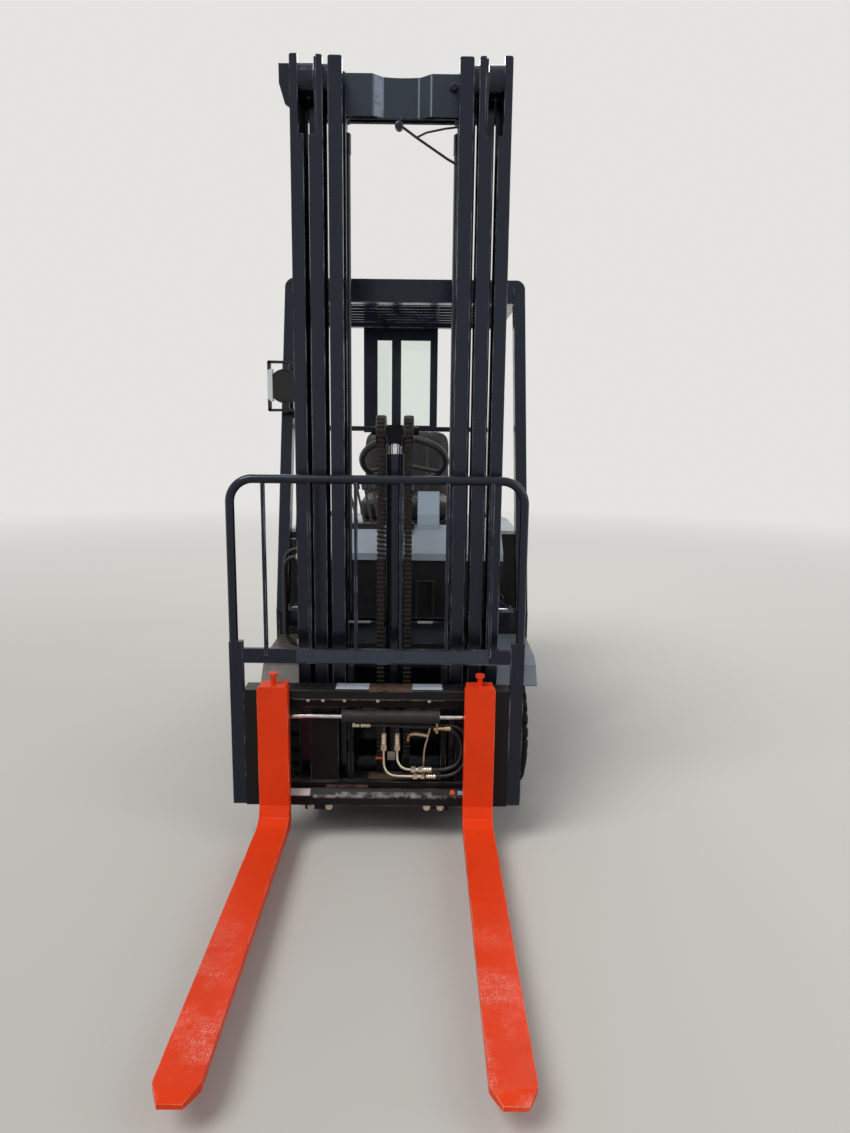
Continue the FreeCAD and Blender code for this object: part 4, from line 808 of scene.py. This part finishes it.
class FORKLIFT_OT_chains(bpy.types.Operator):
    """Leaf chains of plates and pins in place of the plain bands"""
    bl_idname = "forklift.chains"
    bl_label = "Chains"

    def execute(self, context):
        centres, wide = chain_centres()
        low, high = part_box("chain_front")
        thick = high.y - low.y
        front_y = (low.y + high.y) / 2
        wrap_low, wrap_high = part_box("chain_wrap")
        radius = (wrap_high.y - wrap_low.y - thick) / 2
        centre_y = (wrap_low.y + wrap_high.y) / 2
        centre_z = wrap_high.z - thick / 2 - radius
        anchor_low, anchor_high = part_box("chain_anchor_strand")
        anchor_y = anchor_low.y + thick / 2
        angle = np.linspace(math.pi, 0, 60)
        fronts = []
        wraps = []
        strands = []
        for x in centres:
            for parts, path in (
                    (fronts, [(x, front_y, low.z), (x, front_y, high.z)]),
                    (wraps, [*((x, centre_y + radius * math.cos(a), centre_z + radius * math.sin(a))
                               for a in angle), (x, centre_y + radius, wrap_low.z)]),
                    (strands, [(x, anchor_y, anchor_low.z), (x, anchor_y, anchor_high.z)])):
                parts += leaf_chain(np.array(path), wide, thick, sizes().chain_pitch,
                                    sizes().chain_plates)
            foot = rectangle(-wide / 2, wide / 2, anchor_low.y - anchor_y, anchor_high.y - anchor_y)
            foot_high = 0.012
            strands.append(prisms((x, anchor_y, anchor_low.z), X_AXIS, Y_AXIS, Z_AXIS, foot, 0.0,
                                  foot_high))
        piece = self.chain("leaf_chain_front", fronts, "free_lift_ram", "chain_front")
        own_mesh(piece)
        self.chain("leaf_chain_wrap", wraps, "free_lift_ram", "chain_wrap")
        self.chain("leaf_chain_anchored", strands, "mast_inner", "chain_anchor_strand")
        return {"FINISHED"}

    def chain(self, name, parts, body, node):
        piece = add_piece(name, {"chain_steel": parts}, body)
        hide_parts(node)
        return piece


# Bolts, lamp holder, cable clamp and small marks
def hex_bolts(places, axis, size):
    """Washer and hexagon head at each place, standing along axis."""
    side = unit(np.cross(axis, (0.3, 0.5, 0.8)))
    other = np.cross(axis, side)
    sunk = -0.001
    washer = size * 0.22
    head = size * 0.85
    return [prisms(places, side, other, axis, circle(20, size * 1.15), sunk, washer),
            prisms(places, side, other, axis, circle(6, size), washer, head)]


class FORKLIFT_OT_bolts(bpy.types.Operator):
    """Bolts of the shifter, carriage and guard, the lamp's holder, the mast's cables and marks"""
    bl_idname = "forklift.bolts"
    bl_label = "Bolts"

    def execute(self, context):
        zero = mast_zero()
        low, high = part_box("shift_frame")
        middle = (low.x + high.x) / 2
        parts = []
        for dx in (-0.226, -0.164, 0.170, 0.216):
            start = np.array((middle + dx, low.y + 0.0065, low.z + 0.010))
            parts.append(straight(start, start - Y_AXIS, [
                (0, 0.0125), (0.0012, 0.0125), (0.0014, 0.0098), (0.0052, 0.0098), (0.0058, 0.0090),
                (0.0058, 0.0052), (0.0030, 0.0048)], 24))
        soften(add_piece("hook_bolts", {"fitting": parts}, "side_shifter"))
        nuts = [zero + (x, -0.0952, 0.497) for x in (-0.300, -0.250, -0.177, -0.065, 0.109)]
        add_piece("carriage_bolts", {"fitting": hex_bolts(nuts, -Y_AXIS, 0.0052)}, "carriage")
        low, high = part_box("overhead_guard")
        middle = (low.x + high.x) / 2
        feet = [(middle + side * x, low.y + y, 0.950)
                for side in (-1, 1) for x in (0.408, 0.472) for y in (1.024, 1.100)]
        add_piece("guard_foot_bolts", {"black_gloss": hex_bolts(feet, Z_AXIS, 0.0058)}, "chassis")
        self.small_marks(zero)
        self.lamp_holder()
        self.mast_head(zero)
        return {"FINISHED"}

    def lamp_holder(self):
        """Claws above and below the work lamp, its pale side lens and its plated rim."""
        low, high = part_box("work_lamp")
        centre = np.array((low.x + 0.068, low.y, (low.z + high.z) / 2))
        claws = []
        for sign, hook in ((1, 0.062), (-1, 0.050)):
            bar = [(-0.072, 0.089), (0.066, 0.089), (0.066, 0.098), (-0.068, 0.100),
                   (-0.072, 0.096)]
            claw = [(-0.073, hook), (-0.061, hook), (-0.060, 0.097), (-0.073, 0.097)]
            strap = rectangle(-0.012, 0.012, 0.058, 0.092)
            claws += [slab(centre, [(x, sign * z) for x, z in outline], 0.006, 0.026)
                      for outline in (bar, claw, strap)]
        lens = [(-0.0715, -0.048), (-0.060, -0.060), (-0.052, -0.060), (-0.052, 0.066),
                (-0.062, 0.066), (-0.0715, 0.058)]
        rim = [(0.044, -0.056), (0.062, -0.040), (0.067, 0.000), (0.062, 0.040), (0.044, 0.056),
               (0.050, 0.0)]
        groups = {"black_plastic": claws, "pale_lens": [slab(centre, lens, -0.004, 0.030)],
                  "fitting": [slab(centre, rim, -0.003, 0.020)]}
        add_piece("lamp_holder", groups, "chassis")

    def mast_head(self, zero):
        """Cable clamp under the inner cross, its taut cables, and the knob on the cross."""
        clamp = zero + (-0.009, 0.118, 0.0)
        knob = zero + (0.166, 0.112, 2.478)
        hard = [slab(clamp, rectangle(-0.0045, 0.0045, 2.374, 2.3965), 0.0, 0.010),
                straight(*span(clamp + 2.367 * Z_AXIS, -0.006, 0.016, Y_AXIS), [
                    (0, 0.0110), (0.002, 0.0140), (0.020, 0.0140), (0.022, 0.0110)]),
                straight(*span(knob, 0.004, -0.012, Y_AXIS), [
                    (0, 0.0170), (0.006, 0.0170), (0.0065, 0.0125), (0.013, 0.0125),
                    (0.016, 0.0100)])]
        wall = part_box("mast_inner")[1].x - zero[0] - 0.070
        thick_cable = [(0.0, 0.122, 2.366), (0.050, 0.122, 2.332), (0.150, 0.122, 2.269),
                       (wall, 0.120, 2.250)]
        thin_cable = [(0.048, 0.122, 2.334), (0.080, 0.122, 2.349), (0.140, 0.121, 2.361),
                      (wall, 0.119, 2.366)]
        soft = [tube(thick_cable + zero, 0.0042), tube(thin_cable + zero, 0.0034)]
        soften(add_piece("mast_head_cable", {"black_gloss": hard, "hose": soft}, "mast_inner"))

    def small_marks(self, zero):
        """Chain anchor ring, plate on the free-lift barrel, plug and block by the right fork."""
        where = np.array((chain_centres()[0][0], zero[1] + 0.001, 0.0))
        ring = prisms(where, X_AXIS, Y_AXIS, Z_AXIS, rectangle(-0.0155, 0.0155, -0.0125, 0.0125),
                      0.252, 0.260)
        where = np.array((zero[0] - 0.023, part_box("free_lift_barrel")[0].y, 0.0))
        plate = slab(where, rectangle(-0.0135, 0.0135, 0.236, 0.268), 0.004, -0.0008)
        corner = zero + (0.192, -0.108, 0.176)
        plug = straight(corner, corner - Y_AXIS,
                        [(0, 0.0105), (0.013, 0.0105), (0.016, 0.0080)], 24)
        block = slab(corner + 0.0165 * X_AXIS, rectangle(0.0, 0.017, -0.0065, 0.0065), 0.0, -0.0155)
        add_piece("anchor_ring", {"mark_orange": [ring]}, "carriage")
        add_piece("bare_plate", {"fitting": [plate]}, "mast_inner")
        soften(add_piece("orange_plug", {"mark_orange": [plug]}, "side_shifter"),
               math.pi)
        add_piece("blue_block", {"blue_plastic": [block]}, "side_shifter")


# Hoses
class FORKLIFT_OT_hoses(bpy.types.Operator):
    """Hydraulic hoses with their plated fittings, on the carriage and beside the mast"""
    bl_idname = "forklift.hoses"
    bl_label = "Hoses"

    def execute(self, context):
        zero = mast_zero()
        self.shift_hoses(zero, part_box("shift_barrel")[1].z)
        self.mast_hoses(zero)
        return {"FINISHED"}

    def shift_hoses(self, zero, bar_low):
        """Two plated pipes down from the bar, and their hoses round to the cylinder's ports."""
        thick = sizes().hose_radius
        drop_y = -0.078
        near_y = -0.091
        riser_y = -0.0715
        # For each: X of the drop, its pipe's knots (X, Z), its hose's knots (X, Y, Z)
        runs = (
            (-0.045, ((-0.045, 0.285), (-0.043, 0.260), (-0.034, 0.241), (-0.018, 0.230),
                      (0.004, 0.226), (0.057, 0.225)),
             ((0.130, near_y, 0.225), (0.176, near_y, 0.229), (0.205, near_y, 0.242),
              (0.226, near_y, 0.267), (0.238, near_y, 0.304), (0.241, near_y, 0.341),
              (0.234, near_y, 0.374), (0.214, near_y, 0.398), (0.182, -0.087, 0.408),
              (0.130, -0.085, 0.405), (0.080, -0.085, 0.402), (0.030, -0.085, 0.404),
              (-0.040, -0.088, 0.409), (-0.092, near_y, 0.409))),
            (0.001, ((0.001, 0.292), (0.004, 0.276), (0.014, 0.261), (0.030, 0.252),
                     (0.050, 0.2495)),
             ((0.116, near_y, 0.250), (0.150, near_y, 0.250), (0.180, near_y, 0.256),
              (0.206, near_y, 0.272), (0.220, near_y, 0.302), (0.221, near_y, 0.338),
              (0.210, -0.094, 0.370), (0.192, -0.098, 0.392), (0.178, -0.100, 0.400))),
        )
        black = []
        plated = []
        for drop, pipe, loop in runs:
            knots = [(drop, drop_y, 0.318)]
            knots += [(x, drop_y + (near_y - drop_y) * min(1, k / 3), z)
                      for k, (x, z) in enumerate(pipe, 1)]
            start = zero + (pipe[-1][0] - 0.002, near_y, pipe[-1][1])
            top = zero + (drop, drop_y, 0.0)
            plated += [
                tube(smooth_path(knots + zero), 0.0048),
                hex_nut(*span(start, 0, 0.017), 0.0105),
                rod(*span(start, 0.016, 0.028), 0.0075),
                hex_nut(*span(start, 0.026, 0.041), 0.0095),
                crimp(*span(zero + loop[0], -0.030, 0.004), 0.0096),
                hex_nut(*span(top, 0.314, 0.334, Z_AXIS), 0.0100),
                crimp(*span(top, 0.333, 0.378, Z_AXIS), 0.0098),
            ]
            riser = [(drop, drop_y, 0.374), (drop, drop_y + 0.001, 0.395), (drop, riser_y, 0.425)]
            riser = np.vstack((smooth_path(riser + zero), zero + (drop, riser_y, bar_low)))
            black += [tube(smooth_path(loop + zero), thick),
                      tube(riser, thick + 0.0004, reference=X_AXIS)]
        left = zero + (-0.152, near_y, 0.409)
        # A thin return pipe runs behind, with its brass elbow
        thin = [(0.118, -0.072, bar_low), (0.116, -0.070, 0.410), (0.106, -0.064, 0.358),
                (0.095, -0.060, 0.310), (0.092, -0.058, 0.245), (0.092, -0.057, 0.1955)]
        elbow = [(0.037, -0.052, 0.340), (0.040, -0.055, 0.358), (0.056, -0.060, 0.3665),
                 (0.080, -0.063, 0.366), (0.106, -0.065, 0.362)]
        plated += [
            hex_nut(*span(left, 0, 0.026), 0.0085),
            crimp(*span(left, 0.029, 0.063), 0.0096),
            rod(*span(left + (0.006, -0.006, 0), 0, 0.0126, Z_AXIS), 0.005),
            tube(smooth_path(thin + zero), 0.0040),
        ]
        tee = zero + (0.124, -0.100, 0.402)
        brass = [
            hex_nut(*span(tee, 0, 0.014), 0.0092),
            straight(*span(tee, 0.013, 0.058),
                     [(0, 0.0068), (0.024, 0.0068), (0.025, 0.0088), (0.045, 0.0088)]),
            straight(*span(tee + 0.012 * X_AXIS, -0.016, 0.0196, Z_AXIS),
                     [(0, 0.0058), (0.010, 0.0058), (0.011, 0.0046), (0.0356, 0.0046)]),
            tube(smooth_path(elbow + zero), 0.0072),
        ]
        soften(add_piece("shift_hoses", {"hose": black, "fitting": plated, "brass": brass},
                         "carriage"))

    def mast_hoses(self, zero):
        """Two hoses that stand out beside the mast, with a nut at each end."""
        face = zero[0] - 0.344
        out = face - 0.052
        black = []
        plated = []
        # For each: Y and Z of the upper end, Y and Z of the lower end
        for top_y, top_z, low_y, low_z in ((0.074, 0.985, 0.070, 0.645),
                                           (0.050, 0.962, 0.046, 0.660)):
            y0 = zero[1] + top_y
            y1 = zero[1] + low_y
            knots = [(face, y0, top_z), (out, y0, top_z), (out, y1, low_z), (face, y1, low_z)]
            black.append(tube(rounded_line(knots, 0.040), sizes().hose_radius))
            plated += [hex_nut(*span(np.array(end), 0, -0.011), 0.0105)
                       for end in (knots[0], knots[-1])]
        soften(add_piece("mast_hoses", {"hose": black, "fitting": plated}, "mast_outer"))


# Tyres
def rise(value, start, wide):
    """0 up to a start, 1 from a width further on, straight between."""
    return np.clip((value - start) / wide, 0, 1)


def lugged_tyre(low, high, bead_share, lugs, deep=0.015):
    """Solid tyre with chunky lugs, as a closed surface of angle and place along its section.

    The section runs from bead to bead over the tread. At section point s and angle a the radius
    is r(s) - deep * groove(a, s), where groove is a smooth step in the phase of the lugs, which
    is half a pitch further on the other side and leans back by a share of a pitch per metre.
    """
    centre = (low + high) / 2
    half = (high[0] - low[0]) / 2
    radius = (high[2] - low[2]) / 2
    round_off = radius * 0.09
    bead = radius * bead_share
    knots = np.array([
        (-half, bead), (-half, bead + 0.010), (-half, radius - 3.6 * round_off),
        (-half, radius - 2.9 * round_off), (-half, radius - 2.2 * round_off),
        (-half + 0.35 * round_off, radius - 0.9 * round_off),
        (-half + 0.75 * round_off, radius - 0.35 * round_off), (-half + 1.3 * round_off, radius),
        *((-half * share, radius) for share in (0.55, 0.40, 0.16, 0.12, 0.04))])
    section = np.vstack((knots, knots[::-1] * (-1, 1)))
    across, base = section.T[:, :, None]
    columns = lugs * 14
    lean = 6.0
    angle = 2 * math.pi * np.arange(columns) / columns
    side = np.sign(across)
    reach = np.abs(across)
    phase = (lugs * angle / (2 * math.pi) + 0.25 * side - lean * reach) % 1.0
    wall = rise(-np.abs(phase - 0.5), -0.17, 0.05)
    on_tread = (rise(reach, half * 0.12, half * 0.06)
                * rise(base, radius - 3.4 * round_off, 0.8 * round_off))
    centre_groove = 0.55 * rise(-reach, -half * 0.10, half * 0.05)
    groove = np.maximum(wall * wall * (3 - 2 * wall) * on_tread, centre_groove)
    shoulder = rise(reach, half * 0.9, half * 0.1)
    ring = base - deep * groove * (1 - 0.75 * shoulder)
    points = np.stack((centre[0] + across - side * groove * shoulder * deep * 0.55,
                       centre[1] + ring * np.cos(angle), centre[2] + ring * np.sin(angle)), -1)
    faces = grid_faces(len(section), columns, wrap_rows=True, wrap_columns=True)
    return points.reshape(-1, 3), faces


class FORKLIFT_OT_tyres(bpy.types.Operator):
    """Lugged tread on the four solid tyres"""
    bl_idname = "forklift.tyres"
    bl_label = "Tyres"

    def execute(self, context):
        for end, lugs in (("front", 24), ("rear", 22)):
            for name in ("left", "right"):
                node = end + "_tyre_" + name
                low, high = corners_of(node)
                rim_low, rim_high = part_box(end + "_rim_" + name)
                share = (rim_high.z - rim_low.z) / (high[2] - low[2]) + 0.002
                groups = {"tyre_rubber": [lugged_tyre(low, high, share, lugs)]}
                piece = add_piece(node + "_lugged", groups, end + "_wheel_" + name)
                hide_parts(node)
        return {"FINISHED"}


# Seat
def pillow(centre, size, power=0.32, rows=28, columns=56):
    """Closed rounded block: a superellipsoid of a given full size.

    At latitude v and longitude u a point is half of (a c(v) c(u), b c(v) s(u), h s(v)), where c
    and s are the cosine and sine raised to the power with their sign kept.
    """
    v = np.linspace(-math.pi / 2, math.pi / 2, rows)[:, None]
    u = np.linspace(-math.pi, math.pi, columns, endpoint=False)[None, :]

    def shaped(value):
        return np.sign(value) * np.abs(value) ** power

    x = shaped(np.cos(v)) * shaped(np.cos(u)) * size[0] / 2
    y = shaped(np.cos(v)) * shaped(np.sin(u)) * size[1] / 2
    z = shaped(np.sin(v)) * np.ones_like(u) * size[2] / 2
    points = np.stack((x, y, z), -1)[1:-1].reshape(-1, 3)
    faces = [tuple(q) for q in grid_faces(rows - 2, columns, wrap_columns=True)]
    count = len(points)
    points = np.vstack((points, (0, 0, -size[2] / 2), (0, 0, size[2] / 2)))
    ring = np.arange(columns)
    after = (ring + 1) % columns
    last = (rows - 3) * columns
    faces += [(count, a, b) for a, b in zip(after, ring)]
    faces += [(count + 1, last + a, last + b) for a, b in zip(ring, after)]
    return points + centre, faces


def inflate(piece, cap, voxel=0.006, pressure=4.0, frames=20):
    """Cloth puffed up by pressure with gravity off, each point moved at most cap, then kept."""
    remesh = piece.modifiers.new("Remesh", "REMESH")
    remesh.mode = "VOXEL"
    remesh.voxel_size = voxel
    graph = bpy.context.evaluated_depsgraph_get()
    mesh = bpy.data.meshes.new_from_object(piece.evaluated_get(graph))
    piece.modifiers.clear()
    piece.data = mesh
    before = points_of(piece.data)
    cloth = piece.modifiers.new("Cloth", "CLOTH").settings
    cloth.use_pressure = True
    cloth.uniform_pressure_force = pressure
    cloth.tension_stiffness = 25
    cloth.compression_stiffness = 25
    cloth.bending_stiffness = 4
    cloth.effector_weights.gravity = 0
    scene = bpy.context.scene
    for number in range(1, frames + 1):
        scene.frame_set(number)
    graph = bpy.context.evaluated_depsgraph_get()
    puffed = points_of(piece.evaluated_get(graph).data)
    piece.modifiers.clear()
    scene.frame_set(1)
    move = puffed - before
    length = np.linalg.norm(move, axis=1, keepdims=True)
    set_points(piece.data, before + move * np.minimum(1, cap / np.maximum(length, 1e-9)))


def sew_channels(points, places, depth, axis, face=1.0, wide=0.006):
    """Sewn channels: a bell-shaped dip along an axis at each place in X, where face isn't 0."""
    dip = sum(np.exp(-((points[:, 0] - place) / wide) ** 2) for place in places)
    points[:, axis] -= depth * dip * face


class FORKLIFT_OT_seat(bpy.types.Operator):
    """Padded seat cushion and backrest with sewn channels"""
    bl_idname = "forklift.seat"
    bl_label = "Seat"

    def execute(self, context):
        seam = 0.012
        low, high = corners_of("seat_cushion")
        middle = (low + high) / 2
        cushion = make_mesh("seat_cushion_padded", *pillow(middle, high - low - seam))
        inflate(cushion, 0.012)
        points = np.clip(points_of(cushion.data), low + 0.0005, high + (0, 0, 0.008))
        sew_channels(points, (middle[0] - 0.12, middle[0] + 0.12), 0.007, 2,
                     points[:, 2] > middle[2])
        self.finish(cushion, points, "seat_cushion")
        low, high = corners_of("seat_back")
        middle = (low + high) / 2
        # The back leans about an axis along X, by the angle of its run and height
        run = 0.062
        height = 0.391
        size = np.array((high[0] - low[0], 0.088, math.hypot(height, run)))
        lean = np.array(Matrix.Rotation(-math.atan2(run, height), 3, "X"))
        back = make_mesh("seat_back_padded", *pillow(middle, size - (seam, 0.008, seam)))
        inflate(back, 0.010)
        points = points_of(back.data)
        sew_channels(points, (middle[0] - 0.11, middle[0] + 0.11), -0.006, 1)
        points = (points - middle) @ lean.T + middle
        self.finish(back, np.clip(points, low + 0.0005, high), "seat_back")
        return {"FINISHED"}

    def finish(self, piece, points, node):
        set_points(piece.data, points)
        piece.data.materials.clear()
        piece.data.materials.append(FINISHES["seat_vinyl"])
        soften(piece, math.pi)
        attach(piece, "seat_deck")
        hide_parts(node)


# Stage
CAMERA_PLACE = (0.0932, -3.0854, 1.4133)
CAMERA_YAW = 0.0049
CAMERA_DOWN = 0.1731
CAMERA_ROLL = 0.0111
BACKDROP = (0.78, 0.77, 0.75)
FLOOR = (0.50, 0.485, 0.45)
SKY = (0.82, 0.84, 0.87)


def camera_matrix():
    """The camera looks along its yaw and down angle, and is rolled clockwise about that line."""
    forward = Vector((math.sin(CAMERA_YAW) * math.cos(CAMERA_DOWN),
                      math.cos(CAMERA_YAW) * math.cos(CAMERA_DOWN), -math.sin(CAMERA_DOWN)))
    right = Vector((math.cos(CAMERA_YAW), -math.sin(CAMERA_YAW), 0))
    up = right.cross(forward)
    rolled_right = right * math.cos(CAMERA_ROLL) + up * math.sin(CAMERA_ROLL)
    rolled_up = up * math.cos(CAMERA_ROLL) - right * math.sin(CAMERA_ROLL)
    matrix = Matrix((rolled_right, rolled_up, -forward)).transposed().to_4x4()
    matrix.translation = Vector(CAMERA_PLACE)
    return matrix


def sees_backdrop(tree):
    """1 for the rays of the camera, of gloss and of glass, else 0."""
    rays = add_node(tree, "LightPath", {}).outputs
    total = math_node(tree, "ADD", rays["Is Camera Ray"], rays["Is Glossy Ray"])
    return math_node(tree, "ADD", total, rays["Is Transmission Ray"], clamp=True)


def mix_shader(tree, factor, first, second):
    inputs = {0: factor, 1: first.outputs[0], 2: second.outputs[0]}
    return add_node(tree, "MixShader", inputs).outputs[0]


def floor_material():
    """Lit floor that keeps the shadow, and fades to the backdrop's even colour far off."""
    material, tree, shader = new_material("Pale floor", 0.75, gloss=0.2)
    feed(tree, shader, {"Base Color": FLOOR})
    length = add_node(tree, "VectorMath", {0: coordinates(tree)}, operation="LENGTH")
    away = ramp(tree, length.outputs["Value"], 3.0, 11.0)
    even = add_node(tree, "Emission", {"Color": BACKDROP})
    surface = mix_shader(tree, times(tree, away, sees_backdrop(tree)), shader, even)
    feed(tree, tree.nodes["Material Output"], {"Surface": surface})
    return material


def add_lamp(name, kind, place, target, energy, **settings):
    """Lamp that shines from a place to a target; a sun lights the floor evenly."""
    data = bpy.data.lights.new(name, kind)
    data.energy = energy
    for label, value in settings.items():
        setattr(data, label, value)
    lamp = bpy.data.objects.new(name, data)
    lamp.location = place
    lamp.rotation_euler = (Vector(target) - Vector(place)).to_track_quat("-Z", "Y").to_euler()
    bpy.context.scene.collection.objects.link(lamp)


class FORKLIFT_OT_stage(bpy.types.Operator):
    """Pale floor, soft lamps and the camera"""
    bl_idname = "forklift.stage"
    bl_label = "Stage"

    def execute(self, context):
        scene = context.scene
        data = bpy.data.cameras.new("Camera")
        data.sensor_fit = "VERTICAL"
        data.sensor_height = 36.0
        data.lens = sizes().lens
        camera = bpy.data.objects.new("Camera", data)
        camera.matrix_world = camera_matrix()
        scene.collection.objects.link(camera)
        scene.camera = camera
        reach = 30.0
        corners = [(x, y, 0) for x, y in rectangle(-reach, reach, -reach, reach)]
        floor = make_mesh("floor", corners, [(0, 1, 2, 3)])
        floor.data.materials.append(floor_material())
        add_lamp("Key", "SUN", (-3.0, -3.0, 6.0), (0, 0, 0), 1.9, angle=0.5)
        add_lamp("Fill", "AREA", (4.5, -3.5, 4.0), (0, 0, 1), 90, shape="RECTANGLE", size=3,
                 size_y=4)
        add_lamp("Rim", "AREA", (0.5, 5.0, 5.5), (0, 0, 1), 160, shape="RECTANGLE", size=5,
                 size_y=2)
        world = bpy.data.worlds.new("World")
        scene.world = world
        world.use_nodes = True
        tree = world.node_tree
        shade = tree.nodes["Background"]
        feed(tree, shade, {"Color": SKY, "Strength": 0.45})
        seen = add_node(tree, "Background", {"Color": BACKDROP, "Strength": 1.0})
        surface = mix_shader(tree, sees_backdrop(tree), shade, seen)
        feed(tree, tree.nodes["World Output"], {0: surface})
        scene.view_settings.view_transform = "Standard"
        return {"FINISHED"}


class FORKLIFT_PT_panel(bpy.types.Panel):
    """Sidebar panel that lists the pieces"""
    bl_label = "Forklift"
    bl_space_type = "VIEW_3D"
    bl_region_type = "UI"
    bl_category = "Forklift"

    def draw(self, context):
        for group in (context.scene.forklift_colours, context.scene.forklift_sizes):
            for name in group.__annotations__:
                self.layout.prop(group, name)
        for step in STEPS:
            self.layout.operator(step.bl_idname)


STEPS = (
    FORKLIFT_OT_stage,
    FORKLIFT_OT_finishes,
    FORKLIFT_OT_chains,
    FORKLIFT_OT_hoses,
    FORKLIFT_OT_tyres,
    FORKLIFT_OT_bolts,
    FORKLIFT_OT_seat,
)
CLASSES = (ForkliftColours, ForkliftSizes, *STEPS, FORKLIFT_PT_panel)


def register():
    for item in CLASSES:
        bpy.utils.register_class(item)
    bpy.types.Scene.forklift_colours = PointerProperty(type=ForkliftColours)
    bpy.types.Scene.forklift_sizes = PointerProperty(type=ForkliftSizes)


def unregister():
    del bpy.types.Scene.forklift_sizes
    del bpy.types.Scene.forklift_colours
    for item in reversed(CLASSES):
        bpy.utils.unregister_class(item)


def main():
    register()
    for step in STEPS:
        group, name = step.bl_idname.split(".")
        getattr(getattr(bpy.ops, group), name)()


if __name__ == "__main__":
    main()
